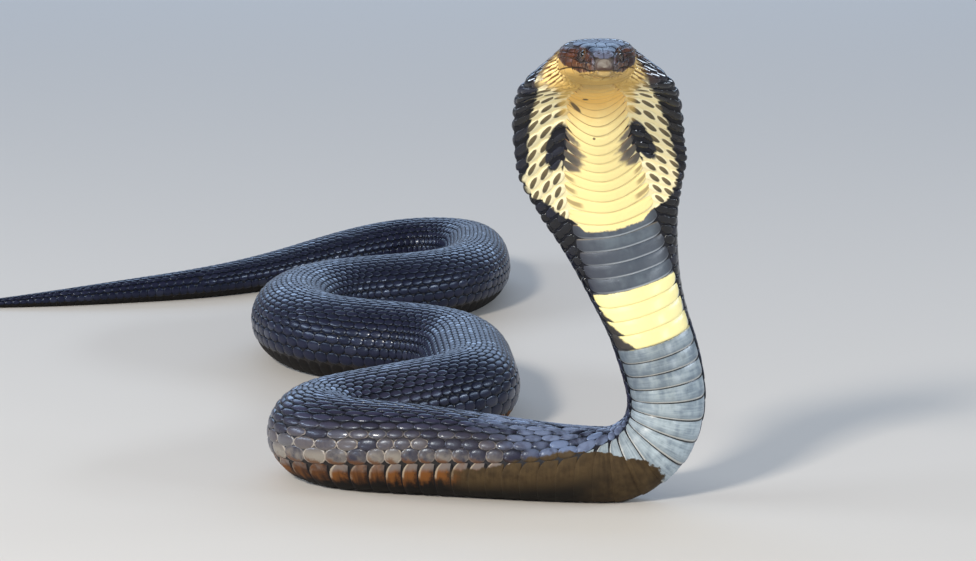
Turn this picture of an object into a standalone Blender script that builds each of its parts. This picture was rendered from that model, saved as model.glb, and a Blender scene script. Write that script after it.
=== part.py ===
"""A life-size monocled cobra, dark form, with its hood spread and its body lying in S-bends.

Metres, +Z up. The floor is z = 0 and the origin is the middle of the footprint.
The animal faces -Y. Its length is measured along the spine as u, from the nape (0) to the tail tip.
A turn round the body is measured as phi, from the midline of the belly (0) to the spine (180 degrees).
"""

import bmesh
import bpy
import numpy as np
from mathutils import Matrix, Vector

MM = 0.001
GAP = 0.3 * MM

# The raised neck, from the nape down to the foot, where the belly meets the floor.
RISE = np.array(
    [
        (-0.0350, -0.1010, 0.2030),
        (-0.0350, -0.0890, 0.1975),
        (-0.0340, -0.0785, 0.1870),
        (-0.0332, -0.0690, 0.1720),
        (-0.0310, -0.0590, 0.1570),
        (-0.0268, -0.0490, 0.1370),
        (-0.0214, -0.0425, 0.1170),
        (-0.0158, -0.0388, 0.0975),
        (-0.0090, -0.0368, 0.0780),
        (-0.0035, -0.0360, 0.0600),
        (-0.0010, -0.0362, 0.0430),
        (-0.0065, -0.0370, 0.0260),
        (-0.0190, -0.0380, 0.0175),
    ]
)
# The lying body: each bend is (middle, span, degrees), the first two along the body from the foot.
FOOT_HEADING = 186
BENDS = (
    (0.017, 0.083, -20),
    (0.153, 0.087, -123),
    (0.272, 0.044, 51),
    (0.369, 0.072, 66),
    (0.451, 0.107, -66),
    (0.544, 0.126, -73),
    (0.635, 0.144, 70),
    (0.767, 0.098, 99),
    (0.802, 0.125, 33),
    (0.921, 0.111, -26),
    (1.025, 0.118, -14),
)
LYING_LENGTH = 1.085
STATION = 1.0 * MM

# Body radius at stations along the spine.
RADIUS = (
    (0.000, 0.0125),
    (0.060, 0.0130),
    (0.150, 0.0170),
    (0.200, 0.0160),
    (0.240, 0.0170),
    (0.330, 0.0205),
    (0.480, 0.0208),
    (0.700, 0.0208),
    (0.850, 0.0190),
    (1.000, 0.0158),
    (1.100, 0.0105),
    (1.200, 0.0060),
    (1.285, 0.0012),
)
SINK = 0.94  # height of the spine over the floor, in radii: the belly is pressed flat

# The hood: how far it spreads past the neck at most, and its share of that along the neck.
HOOD_SPREAD = 0.0240
HOOD = (
    (0.000, 0.18),
    (0.004, 0.56),
    (0.013, 0.82),
    (0.025, 0.94),
    (0.044, 1.00),
    (0.062, 0.98),
    (0.084, 0.72),
    (0.098, 0.50),
    (0.119, 0.24),
    (0.140, 0.05),
    (0.155, 0.00),
    (1.300, 0.00),
)
# The half-thickness of the hood's wings, and how blunt their rim is, from the round shoulders down.
HOOD_WING = (
    (0.000, 0.0080, 0.05),
    (0.006, 0.0072, 0.10),
    (0.018, 0.0062, 0.22),
    (0.034, 0.0046, 0.38),
    (0.050, 0.0034, 0.45),
    (1.300, 0.0034, 0.45),
)
HOOD_COLUMN = 0.0105
HOOD_COLUMN_REACH = 0.0150
HOOD_CURL = 0.0060

# The way the belly faces at stations along the spine.
BELLY_FACES = (
    (0.000, 0.05, -0.05, -1.00),
    (0.030, 0.02, -0.70, -0.70),
    (0.060, 0.00, -0.90, -0.45),
    (0.110, -0.02, -1.00, -0.20),
    (0.160, 0.08, -1.00, 0.00),
    (0.200, 0.22, -1.00, 0.00),
    (0.222, 0.45, -0.85, -0.30),
    (0.245, 0.20, -0.60, -0.85),
    (0.300, 0.00, -0.35, -0.94),
    (0.420, 0.00, 0.00, -1.00),
    (1.300, 0.00, 0.00, -1.00),
)

# The broad plates across the belly.
SCUTE_PITCH = ((0.000, 0.0044), (0.080, 0.0050), (0.200, 0.0073), (0.260, 0.0078), (0.800, 0.0078), (1.300, 0.0045))
# Behind the first bends the plates are drawn fewer and longer than the real ones, by these factors.
LONG_PLATES = 1.6
TAIL_PLATES = 2.4
# How far the ends of a belly plate reach forward of its middle, and how wide the middle is.
SCUTE_BOW = ((0.000, 0.000), (0.016, 0.004), (0.050, 0.005), (0.090, 0.003), (0.130, 0.001), (0.150, 0.000), (1.300, 0.000))
SCUTE_MIDDLE = 0.012
SCUTE_STEP = 0.7 * MM
SCUTE_SHARE = 0.05  # a plate is raised by no more than this share of the body's radius
SCUTE_SEAM = 0.35 * MM
SCUTE_HALF_ANGLE = ((0.000, 18), (0.035, 20), (0.085, 31), (0.110, 46), (0.135, 70), (0.200, 76), (0.260, 66), (1.300, 60))

# The head: how it points, and its half-width, top and bottom about its middle line, from nape to snout.
HEAD_POINTS = (0.056, -0.99, 0.08)
NAPE_BEND = 0.014
HEAD_LENGTH = 0.046
HEAD_FORM = (
    (0.0000, 0.0170, 0.0114, 0.0118),
    (0.0060, 0.0166, 0.0104, 0.0104),
    (0.0120, 0.0160, 0.0098, 0.0092),
    (0.0200, 0.0142, 0.0095, 0.0078),
    (0.0260, 0.0108, 0.0091, 0.0068),
    (0.0330, 0.0079, 0.0078, 0.0060),
    (0.0400, 0.0061, 0.0063, 0.0052),
    (0.0430, 0.0052, 0.0053, 0.0044),
    (0.0450, 0.0040, 0.0038, 0.0032),
    (0.0460, 0.0023, 0.0021, 0.0018),
)
HEAD_RINGS = 36
HEAD_SIDES = 40
CROWN_SQUARENESS = 0.64
CHIN_SQUARENESS = 0.86
# The line of the mouth, as height at distances from the nape, back to the corner of the jaw.
MOUTH = ((0.0090, -0.0030), (0.0160, -0.0022), (0.0240, -0.0012), (0.0320, -0.0010), (0.0400, -0.0016), (0.0480, -0.0016))
LIP = 0.45 * MM
LIP_WIDTH = 1.5 * MM
BROW = 0.8 * MM
BROW_AT = (0.0312, 0.0058, 0.0074)
BROW_SIZE = (0.0060, 0.0030, 0.0024)
EYE_AT = (0.0316, 0.0056, 0.0041)
EYE_RADIUS = 0.0031
EYE_FACES = (0.28, 0.92, 0.24)  # forward, outward, up
LID_AT = 2.1 * MM  # the ring of the lids, out from the middle of the eye
LID_RADIUS = 2.65 * MM
LID_THICKNESS = 0.55 * MM
NOSTRIL_AT = (0.0418, 0.0049, 0.0020)
NOSTRIL_RADIUS = 0.9 * MM

COLOURS = {
    "scales": (0.012, 0.014, 0.024, 1),
    "belly": (0.16, 0.19, 0.25, 1),
    "throat": (0.80, 0.60, 0.26, 1),
    "head": (0.035, 0.022, 0.018, 1),
    "eye": (0.010, 0.008, 0.007, 1),
}


def clear_scene():
    for thing in list(bpy.data.objects):
        bpy.data.objects.remove(thing, do_unlink=True)


def through(keys, x):
    """A smooth curve through keys, rows of (station, values), read at x."""
    keys = np.asarray(keys, float)
    at, value = keys[:, 0], keys[:, 1:]
    x = np.clip(np.asarray(x, float), at[0], at[-1])
    slope = np.empty_like(value)
    slope[1:-1] = (value[2:] - value[:-2]) / (at[2:] - at[:-2])[:, None]
    slope[0] = (value[1] - value[0]) / (at[1] - at[0])
    slope[-1] = (value[-1] - value[-2]) / (at[-1] - at[-2])
    i = np.clip(np.searchsorted(at, x, side="right") - 1, 0, len(at) - 2)
    span = (at[i + 1] - at[i])[..., None]
    t = (x - at[i])[..., None] / span
    return (
        (2 * t**3 - 3 * t**2 + 1) * value[i]
        + (t**3 - 2 * t**2 + t) * span * slope[i]
        + (3 * t**2 - 2 * t**3) * value[i + 1]
        + (t**3 - t**2) * span * slope[i + 1]
    )


def number_through(keys, x):
    return through(keys, x)[..., 0]


def smoothstep(t):
    t = np.clip(t, 0, 1)
    return t * t * (3 - 2 * t)


def unit(v):
    return v / np.linalg.norm(v, axis=-1, keepdims=True)


def evenly(points, step):
    """The same line with a point at every step along it."""
    length = np.concatenate([[0], np.cumsum(np.linalg.norm(np.diff(points, axis=0), axis=1))])
    at = np.arange(0, length[-1] + step / 2, step)
    return np.stack([np.interp(at, length, points[:, k]) for k in range(3)], axis=1)


def raised_line():
    chord = np.concatenate([[0], np.cumsum(np.linalg.norm(np.diff(RISE, axis=0), axis=1))])
    keys = np.column_stack([chord, RISE])
    return evenly(through(keys, np.arange(0, chord[-1], STATION / 4)), STATION)


def lying_line(start_u):
    along = np.arange(STATION, LYING_LENGTH, STATION)
    heading = np.full_like(along, np.radians(FOOT_HEADING))
    for middle, span, degrees in BENDS:
        heading += np.radians(degrees) * smoothstep((along - middle) / span + 0.5)
    x = RISE[-1][0] + np.cumsum(np.cos(heading)) * STATION
    y = RISE[-1][1] + np.cumsum(np.sin(heading)) * STATION
    z = SINK * number_through(RADIUS, start_u + along)
    return np.column_stack([x, y, z])


def softened(points, times=60):
    """The line with its kinks taken out by averaging each point with its neighbours."""
    for _ in range(times):
        points[1:-1] = (points[:-2] + 2 * points[1:-1] + points[2:]) / 4
    return points


class Spine:
    """Places, directions and the sizes of the cross-section along the body."""

    def __init__(self):
        raised = raised_line()
        foot_u = (len(raised) - 1) * STATION
        line = softened(np.vstack([raised, lying_line(foot_u)]))
        self.line = evenly(line, STATION)
        self.length = (len(self.line) - 1) * STATION
        self.tangent = unit(np.gradient(self.line, axis=0))
        u = np.arange(len(self.line)) * STATION
        faces = through(BELLY_FACES, u)
        faces -= (faces * self.tangent).sum(1, keepdims=True) * self.tangent
        self.belly = unit(faces)
        self.side = np.cross(self.belly, self.tangent)

    def read(self, table, u):
        at = np.clip(np.asarray(u, float) / STATION, 0, len(self.line) - 1.001)
        i = at.astype(int)
        t = (at - i)[..., None]
        return table[i] * (1 - t) + table[i + 1] * t


def hood(u):
    """How far the hood is spread at u, from 0 to 1."""
    return np.clip(number_through(HOOD, u), 0, 1)


def surface(spine, u, phi, lift=0.0):
    """The skin's points at u along the spine and phi round it, raised by lift."""
    u, phi = np.broadcast_arrays(np.asarray(u, float), np.asarray(phi, float))
    spread = hood(u)
    radius = number_through(RADIUS, u)
    half_width = radius * (1 + 0.06 * (1 - spread)) + HOOD_SPREAD * spread + lift
    x = half_width * np.sin(phi)
    column = np.exp(-((x / HOOD_COLUMN_REACH) ** 2))
    wing, bluntness = np.moveaxis(through(HOOD_WING, u), -1, 0)
    hood_depth = wing + (HOOD_COLUMN - wing) * column
    depth = radius * (1 - spread) + hood_depth * spread + lift
    power = 1 - bluntness * spread
    across = np.cos(phi)
    y = np.sign(across) * np.abs(across) ** power * depth
    y = y + HOOD_CURL * spread * (np.abs(x) / np.maximum(half_width, MM)) ** 2.4
    place = spine.read(spine.line, u)
    side, belly = spine.read(spine.side, u), spine.read(spine.belly, u)
    points = place + side * x[..., None] + belly * y[..., None]
    points[..., 2] = np.maximum(points[..., 2], 0)
    return points


def bowed(u, phi):
    """Stations of a ring round the body that bows forward away from the middle of the belly."""
    across = (number_through(RADIUS, u) + HOOD_SPREAD * hood(u)) * np.sin(phi)
    return u - number_through(SCUTE_BOW, u) * (1 - np.exp(-((across / SCUTE_MIDDLE) ** 2)))


def scute_rings(start, end, longer):
    """(u, plate height) of the rings of a length of body, each plate longer times its real length."""
    rings = [(start, 0.0)]
    edge = start + longer * float(number_through(SCUTE_PITCH, start))
    while edge < end - 2 * SCUTE_SEAM:
        step = min(SCUTE_STEP, SCUTE_SHARE * float(number_through(RADIUS, edge)))
        rings.append((edge - SCUTE_SEAM, step))
        rings.append((edge + SCUTE_SEAM, 0.0))
        edge += longer * float(number_through(SCUTE_PITCH, edge))
    rings.append((end, 0.0))
    return rings


def tube(spine, name, rings, sides, colour):
    """One length of the body, closed at both ends by flat faces."""
    phi = np.arange(sides) * 2 * np.pi / sides
    folded = np.abs((phi + np.pi) % (2 * np.pi) - np.pi)
    mesh = bmesh.new()
    rows = []
    for u, step in rings:
        reach = np.radians(float(number_through(SCUTE_HALF_ANGLE, u)))
        lift = step * np.clip((reach - folded) / np.radians(9) + 0.5, 0, 1)
        rows.append([mesh.verts.new(p) for p in surface(spine, bowed(u, phi), phi, lift)])
    for row, following in zip(rows, rows[1:]):
        for i in range(sides):
            j = (i + 1) % sides
            mesh.faces.new((row[i], following[i], following[j], row[j]))
    mesh.faces.new(rows[0])
    mesh.faces.new(reversed(rows[-1]))
    return finish_piece(name, mesh, colour)


def finish_piece(name, mesh, colour, smooth=True):
    bmesh.ops.recalc_face_normals(mesh, faces=mesh.faces)
    if mesh.calc_volume(signed=True) < 0:
        bmesh.ops.reverse_faces(mesh, faces=mesh.faces)
    bmesh.ops.triangulate(mesh, faces=mesh.faces, quad_method="SHORT_EDGE")
    data = bpy.data.meshes.new(name)
    mesh.to_mesh(data)
    mesh.free()
    if smooth:
        data.shade_smooth()
        data.set_sharp_from_angle(angle=np.radians(40))
    data.materials.append(material(colour))
    piece = bpy.data.objects.new(name, data)
    bpy.context.scene.collection.objects.link(piece)
    return piece


def material(colour):
    made = bpy.data.materials.get(colour)
    if made is None:
        made = bpy.data.materials.new(colour)
        made.use_nodes = True
        shader = made.node_tree.nodes["Principled BSDF"]
        shader.inputs["Base Color"].default_value = COLOURS[colour]
        shader.inputs["Roughness"].default_value = 0.1 if colour == "eye" else 0.38
        shader.inputs["Metallic"].default_value = 0.0
    return made


def body_lengths(spine):
    """The body behind the head, in named lengths that part at the crown of each bend."""
    end = spine.length - 1.2 * MM
    lengths = (
        ("hood", 0.0, 0.152, 28, 1, "throat"),
        ("neck", 0.152, 0.246, 28, 1, "belly"),
        ("torso_front", 0.246, 0.388, 22, 1, "scales"),
        ("torso_second", 0.388, 0.580, 20, LONG_PLATES, "scales"),
        ("torso_third", 0.580, 0.720, 20, LONG_PLATES, "scales"),
        ("torso_rear", 0.720, 0.940, 18, LONG_PLATES, "scales"),
        ("torso_end", 0.940, 1.080, 18, LONG_PLATES, "scales"),
        ("tail", 1.080, end, 16, TAIL_PLATES, "scales"),
    )
    for name, start, stop, sides, longer, colour in lengths:
        rings = scute_rings(start + GAP / 2, stop - GAP / 2, longer)
        tube(spine, name, rings, sides, colour)


class HeadFrame:
    """The head's middle line, which bends from the neck's direction to the way the snout points."""

    def __init__(self, spine):
        step = 0.5 * MM
        self.at = np.arange(0, HEAD_LENGTH + step, step)
        bend = smoothstep(self.at / NAPE_BEND)[:, None]
        snout = unit(np.array(HEAD_POINTS))
        self.forward = unit((1 - bend) * -spine.tangent[0] + bend * snout)
        right = unit(np.cross((0, 0, 1), snout))
        side = (1 - bend) * spine.side[0] + bend * right
        side -= (side * self.forward).sum(1, keepdims=True) * self.forward
        self.side = unit(side)
        self.up = np.cross(self.forward, self.side)
        steps = np.cumsum(self.forward[:-1] * step, axis=0)
        self.centre = spine.line[0] + np.vstack([[0, 0, 0], steps])

    def place(self, along, across, height):
        """The point at a distance from the nape, across to the left side of the animal, and up."""
        along = np.asarray(along, float)
        read = [np.stack([np.interp(along, self.at, table[:, k]) for k in range(3)], axis=-1)
                for table in (self.centre, self.side, self.up, self.forward)]
        centre, side, up, forward = read
        beyond = (along - np.clip(along, 0, HEAD_LENGTH))[..., None]
        return centre + side * np.asarray(across)[..., None] + up * np.asarray(height)[..., None] + forward * beyond


def near(along, across, height, middle, size):
    """1 at the middle of an egg-shaped place on both sides of the head, and 0 away from it."""
    offset = ((along - middle[0]) / size[0]) ** 2
    offset = offset + ((np.abs(across) - middle[1]) / size[1]) ** 2
    return np.exp(-offset - ((height - middle[2]) / size[2]) ** 2)


def head_surface(frame, along, psi):
    """Points of the whole head at distances from the nape, and psi round it from the crown."""
    half_width, top, bottom = np.moveaxis(through(HEAD_FORM, along), -1, 0)
    sine, cosine = np.sin(psi), np.cos(psi)
    squareness = np.where(cosine > 0, CROWN_SQUARENESS, CHIN_SQUARENESS)
    across = np.sign(sine) * np.abs(sine) ** squareness * half_width
    height = np.sign(cosine) * np.abs(cosine) ** squareness * np.where(cosine > 0, top, bottom)
    from_mouth = height - number_through(MOUTH, along)
    lips = LIP * np.exp(-(((np.abs(from_mouth) - LIP_WIDTH) / LIP_WIDTH) ** 2))
    lips = lips * smoothstep((along - MOUTH[0][0]) / NAPE_BEND)
    brow = BROW * near(along, across, height, BROW_AT, BROW_SIZE)
    outward = np.hypot(across, height) + 1e-9
    swell = (lips + brow) / outward
    return frame.place(along, across * (1 + swell), height * (1 + swell))


def whole_head(frame):
    """The head with its jaw closed, as one lofted body."""
    psi = np.arange(HEAD_SIDES) * 2 * np.pi / HEAD_SIDES
    stations = GAP / 2 + (HEAD_LENGTH - GAP / 2) * np.sin(np.linspace(0, np.pi / 2, HEAD_RINGS)) ** 1.15
    mesh = bmesh.new()
    rows = [[mesh.verts.new(p) for p in head_surface(frame, np.full(HEAD_SIDES, t), psi)] for t in stations]
    for row, following in zip(rows, rows[1:]):
        for i in range(HEAD_SIDES):
            j = (i + 1) % HEAD_SIDES
            mesh.faces.new((row[i], following[i], following[j], row[j]))
    mesh.faces.new(rows[0])
    mesh.faces.new(reversed(rows[-1]))
    return mesh


def jaw_prism(frame, grow):
    """The space of the lower jaw, below the line of the mouth, made larger all round by grow."""
    reach = 30 * MM
    along = np.linspace(MOUTH[0][0], MOUTH[-1][0], 20)
    outline = [(a, h + grow) for a, h in zip(along, number_through(MOUTH, along))]
    outline[0] = (outline[0][0] - grow, outline[0][1])
    outline += [(MOUTH[-1][0], -reach), (MOUTH[0][0] - grow, -reach)]
    mesh = bmesh.new()
    left, right = [], []
    for a, h in outline:
        left.append(mesh.verts.new(frame.place(a, reach, h)))
        right.append(mesh.verts.new(frame.place(a, -reach, h)))
    mesh.faces.new(left)
    mesh.faces.new(reversed(right))
    for i in range(len(outline)):
        j = (i + 1) % len(outline)
        mesh.faces.new((left[j], left[i], right[i], right[j]))
    return mesh


def ball(place, radius, segments, rings):
    mesh = bmesh.new()
    bmesh.ops.create_uvsphere(mesh, u_segments=segments, v_segments=rings, radius=radius)
    bmesh.ops.transform(mesh, matrix=Matrix.Translation(Vector(place)), verts=mesh.verts)
    return mesh


def lid_ring(frame, eye, side):
    """The thin raised ring of scales round one eye."""
    outward = side * frame.side[-1] * EYE_FACES[1] + frame.forward[-1] * EYE_FACES[0] + frame.up[-1] * EYE_FACES[2]
    outward = unit(outward)
    first = unit(np.cross(outward, frame.up[-1]))
    second = np.cross(outward, first)
    mesh = bmesh.new()
    rows = []
    for turn in np.linspace(0, 2 * np.pi, 20, endpoint=False):
        spoke = first * np.cos(turn) + second * np.sin(turn)
        rows.append([mesh.verts.new(eye + outward * LID_AT + spoke * LID_RADIUS
                                    + (spoke * np.cos(t) + outward * np.sin(t)) * LID_THICKNESS)
                     for t in np.linspace(0, 2 * np.pi, 8, endpoint=False)])
    for i in range(len(rows)):
        row, following = rows[i], rows[(i + 1) % len(rows)]
        for k in range(len(row)):
            j = (k + 1) % len(row)
            mesh.faces.new((row[k], following[k], following[j], row[j]))
    return mesh


def cut(piece, cutter_mesh, operation):
    """The piece after one Boolean, with the cutter gone."""
    cutter = finish_piece("cutter", cutter_mesh, "head", smooth=False)
    modifier = piece.modifiers.new("cut", "BOOLEAN")
    modifier.operation = operation
    modifier.object = cutter
    bpy.context.view_layer.update()
    evaluated = piece.evaluated_get(bpy.context.evaluated_depsgraph_get())
    shaped = bpy.data.meshes.new_from_object(evaluated)
    piece.modifiers.clear()
    piece.data = shaped
    bpy.data.objects.remove(cutter, do_unlink=True)


def head_pieces(spine):
    """The head and lower jaw, parted along the mouth, and the eyes in their sockets."""
    frame = HeadFrame(spine)
    head = finish_piece("head", whole_head(frame), "head")
    jaw = finish_piece("lower_jaw", whole_head(frame), "throat")
    cut(head, jaw_prism(frame, GAP / 2), "DIFFERENCE")
    cut(jaw, jaw_prism(frame, -GAP / 2), "INTERSECT")
    for side, name in ((1, "eye_left"), (-1, "eye_right")):
        eye = frame.place(EYE_AT[0], side * EYE_AT[1], EYE_AT[2])
        cut(head, lid_ring(frame, eye, side), "UNION")
        cut(head, ball(eye, EYE_RADIUS + GAP, 20, 12), "DIFFERENCE")
        finish_piece(name, ball(eye, EYE_RADIUS, 16, 10), "eye")
        nostril = frame.place(NOSTRIL_AT[0], side * NOSTRIL_AT[1], NOSTRIL_AT[2])
        cut(head, ball(nostril, NOSTRIL_RADIUS, 10, 6), "DIFFERENCE")


def set_on_footprint():
    """Moves every piece so that the origin is the middle of the footprint."""
    corners = np.vstack([[v.co for v in thing.data.vertices] for thing in bpy.data.objects])
    centre = (corners.min(axis=0) + corners.max(axis=0)) / 2
    for thing in bpy.data.objects:
        thing.data.transform(Matrix.Translation((-centre[0], -centre[1], 0)))


def main():
    clear_scene()
    spine = Spine()
    body_lengths(spine)
    head_pieces(spine)
    set_on_footprint()


main()
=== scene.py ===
"""The looks of the cobra: its skin, scales, plates, shields and eyes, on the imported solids.

Metres, +Z up. A place on the coat is (v, phi): v is the length along the spine behind the nape,
and less than 0 on the head; phi is the turn round it from the midline of the belly, positive on
the animal's left, which is the picture's right.
"""

import bpy
import numpy as np
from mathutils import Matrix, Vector
from mathutils.geometry import delaunay_2d_cdt


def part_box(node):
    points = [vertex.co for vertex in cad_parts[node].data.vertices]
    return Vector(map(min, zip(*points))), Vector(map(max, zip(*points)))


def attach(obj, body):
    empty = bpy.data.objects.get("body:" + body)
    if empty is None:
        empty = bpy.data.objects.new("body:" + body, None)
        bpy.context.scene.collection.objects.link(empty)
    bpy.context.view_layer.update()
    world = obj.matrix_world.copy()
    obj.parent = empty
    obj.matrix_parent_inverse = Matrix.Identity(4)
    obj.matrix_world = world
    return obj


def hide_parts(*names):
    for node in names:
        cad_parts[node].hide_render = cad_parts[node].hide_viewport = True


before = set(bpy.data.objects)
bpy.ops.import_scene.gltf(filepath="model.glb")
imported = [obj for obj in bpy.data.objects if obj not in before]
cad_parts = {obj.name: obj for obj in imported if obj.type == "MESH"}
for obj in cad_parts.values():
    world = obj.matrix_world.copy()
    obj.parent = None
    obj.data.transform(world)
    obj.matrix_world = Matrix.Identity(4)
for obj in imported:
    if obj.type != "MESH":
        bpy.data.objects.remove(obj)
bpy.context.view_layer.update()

# The skin. Thin soft skin covers the flesh from the snout to the tail tip in one piece,
# and shows between the scales, most of all on the spread hood and in the line of the mouth.
# Here it follows the solids' own form, half a millimetre inside them.
MM = 0.001
RISE = np.array((  # places of the spine, from the nape down to the foot of the raised neck
    (-0.0350, -0.1010, 0.2030), (-0.0350, -0.0890, 0.1975), (-0.0340, -0.0785, 0.1870),
    (-0.0332, -0.0690, 0.1720), (-0.0310, -0.0590, 0.1570), (-0.0268, -0.0490, 0.1370),
    (-0.0214, -0.0425, 0.1170), (-0.0158, -0.0388, 0.0975), (-0.0090, -0.0368, 0.0780),
    (-0.0035, -0.0360, 0.0600), (-0.0010, -0.0362, 0.0430), (-0.0065, -0.0370, 0.0260),
    (-0.0190, -0.0380, 0.0175),
))
FOOT_HEADING = 186  # degrees, where the body starts to lie
BENDS = (  # middle along the lying body, length, degrees turned
    (0.017, 0.083, -20), (0.153, 0.087, -123), (0.272, 0.044, 51), (0.369, 0.072, 66),
    (0.451, 0.107, -66), (0.544, 0.126, -73), (0.635, 0.144, 70), (0.767, 0.098, 99),
    (0.802, 0.125, 33), (0.921, 0.111, -26), (1.025, 0.118, -14),
)
LYING_LENGTH = 1.085
STATION = 1.0 * MM
TINY = 1e-9
RADIUS = (  # from the nape, half the thickness of the body
    (0.000, 0.0125), (0.060, 0.0130), (0.150, 0.0170), (0.200, 0.0160), (0.240, 0.0170),
    (0.330, 0.0205), (0.480, 0.0208), (0.700, 0.0208), (0.850, 0.0190), (1.000, 0.0158),
    (1.100, 0.0105), (1.200, 0.0060), (1.285, 0.0012),
)
SINK = 0.94  # the height of the lying body's middle line, as a share of its radius
BODY_WIDER = 0.06
FLOOR_GAP = 0.1 * MM
HOOD_SPREAD = 0.0240
HOOD = (  # from the nape, how far the hood is spread
    (0.000, 0.18), (0.004, 0.56), (0.013, 0.82), (0.025, 0.94), (0.044, 1.00), (0.062, 0.98),
    (0.084, 0.72), (0.098, 0.50), (0.119, 0.24), (0.140, 0.05), (0.155, 0.00), (1.300, 0.00),
)
HOOD_WING = (  # from the nape, half the hood's thickness at its sides, how blunt its rim is
    (0.000, 0.0080, 0.05), (0.006, 0.0072, 0.10), (0.018, 0.0062, 0.22), (0.034, 0.0046, 0.38),
    (0.050, 0.0034, 0.45), (1.300, 0.0034, 0.45),
)
HOOD_COLUMN = 0.0105
HOOD_COLUMN_REACH = 0.0150
HOOD_CURL = 0.0060
HOOD_CURL_POWER = 2.4
BELLY_FACES = (  # from the nape, the way the belly faces
    (0.000, 0.05, -0.05, -1.00), (0.030, 0.02, -0.70, -0.70), (0.060, 0.00, -0.90, -0.45),
    (0.110, -0.02, -1.00, -0.20), (0.160, 0.08, -1.00, 0.00), (0.200, 0.22, -1.00, 0.00),
    (0.222, 0.45, -0.85, -0.30), (0.245, 0.20, -0.60, -0.85), (0.300, 0.00, -0.35, -0.94),
    (0.420, 0.00, 0.00, -1.00), (1.300, 0.00, 0.00, -1.00),
)
HEAD_POINTS = (0.056, -0.99, 0.08)  # the way the snout points
NAPE_BEND = 0.014
HEAD_LENGTH = 0.046
HEAD_FORM = (  # from the nape, half-width, height and depth from the head's middle line
    (0.0000, 0.0170, 0.0114, 0.0118), (0.0060, 0.0166, 0.0104, 0.0104),
    (0.0120, 0.0160, 0.0098, 0.0092), (0.0200, 0.0142, 0.0095, 0.0078),
    (0.0260, 0.0108, 0.0091, 0.0068), (0.0330, 0.0079, 0.0078, 0.0060),
    (0.0400, 0.0061, 0.0063, 0.0052), (0.0430, 0.0052, 0.0053, 0.0044),
    (0.0450, 0.0040, 0.0038, 0.0032), (0.0460, 0.0023, 0.0021, 0.0018),
)
CROWN_SQUARENESS = 0.64
CHIN_SQUARENESS = 0.86
MOUTH = (  # from the nape, height of the mouth's line
    (0.0090, -0.0030), (0.0160, -0.0022), (0.0240, -0.0012), (0.0320, -0.0010), (0.0400, -0.0016),
    (0.0480, -0.0016),
)
LIP = 0.45 * MM
LIP_WIDTH = 1.5 * MM
BROW = 0.8 * MM
BROW_AT = (0.0312, 0.0058, 0.0074)
BROW_SIZE = (0.0060, 0.0030, 0.0024)
EYE_AT = (0.0316, 0.0056, 0.0041)
TIP_CAP = 2.0 * MM  # the length of v given to the blunt end of the snout
TIP_DOME = 0.5 * MM
TIP_LIFT_OVER = 1.5 * MM
JOIN = 4.0 * MM  # the head runs into the neck over this far on each side of the nape
SKIN_DEPTH = 0.5 * MM
HEAD_SKIN_DEPTH = 0.35 * MM
SKIN_SIDES = 96
MOUTH_COLUMN = 27
MOUTH_GROOVE = 0.5 * MM
GROOVE_TURN = 0.035  # the columns beside the mouth's own are this far round from it
GROOVE_WIDTH = 0.03
SKIN_RING = 2.0 * MM
HEAD_RING = 0.45 * MM
COAT_END = 1.2975
STRIP = 0.45  # the unwrap of the coat is laid in three strips of this length
UNWRAP_START = 0.05
GIRTH_START = -0.048
GIRTH_TURNS = 128
VENTRAL_HALF = (  # v, half the width of the belly plates
    (-0.030, 0.0025), (0.000, 0.0092), (0.006, 0.0110), (0.015, 0.0127), (0.030, 0.0137),
    (0.045, 0.0150), (0.060, 0.0176), (0.077, 0.0194), (0.107, 0.0205), (0.140, 0.0230),
    (0.170, 0.0230), (0.250, 0.0235), (0.330, 0.0250), (0.700, 0.0250), (0.850, 0.0220),
    (1.000, 0.0170), (1.100, 0.0110), (1.200, 0.0070), (1.290, 0.0020),
)
# How far round from the belly's midline the pale front of the hood reaches, at places along the
# spine, on the picture's left and right.
PALE_LEFT = (
    (-0.022, 0.0190), (-0.014, 0.0240), (-0.008, 0.0275), (-0.002, 0.0305), (0.003, 0.0280),
    (0.006, 0.0248), (0.017, 0.0262), (0.033, 0.0292), (0.049, 0.0315), (0.059, 0.0330),
    (0.064, 0.0355), (0.073, 0.0335), (0.077, 0.0285), (0.084, 0.0232), (0.090, 0.0170),
    (0.100, 0.0100),
)
PALE_RIGHT = (
    (-0.024, 0.0195), (-0.018, 0.0240), (-0.012, 0.0265), (-0.004, 0.0255), (0.002, 0.0224),
    (0.011, 0.0240), (0.031, 0.0278), (0.043, 0.0308), (0.057, 0.0322), (0.073, 0.0320),
    (0.081, 0.0290), (0.087, 0.0250), (0.092, 0.0150), (0.100, 0.0100),
)
SPOT_AT = (0.0495, 0.0193)
SPOT_SIZE = (0.0128, 0.0040)
SPOT_SLANT = 0.25
BAND_START = 0.0945


def through(keys, x):
    """A smooth curve through keys, rows of (station, values), read at x."""
    keys = np.asarray(keys, float)
    at, value = keys[:, 0], keys[:, 1:]
    x = np.clip(np.asarray(x, float), at[0], at[-1])
    slope = np.empty_like(value)
    slope[1:-1] = (value[2:] - value[:-2]) / (at[2:] - at[:-2])[:, None]
    slope[0] = (value[1] - value[0]) / (at[1] - at[0])
    slope[-1] = (value[-1] - value[-2]) / (at[-1] - at[-2])
    i = np.clip(np.searchsorted(at, x, side="right") - 1, 0, len(at) - 2)
    span = (at[i + 1] - at[i])[..., None]
    t = (x - at[i])[..., None] / span
    return (
        (2 * t**3 - 3 * t**2 + 1) * value[i]
        + (t**3 - 2 * t**2 + t) * span * slope[i]
        + (3 * t**2 - 2 * t**3) * value[i + 1]
        + (t**3 - t**2) * span * slope[i + 1]
    )


def number_through(keys, x):
    return through(keys, x)[..., 0]


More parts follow.
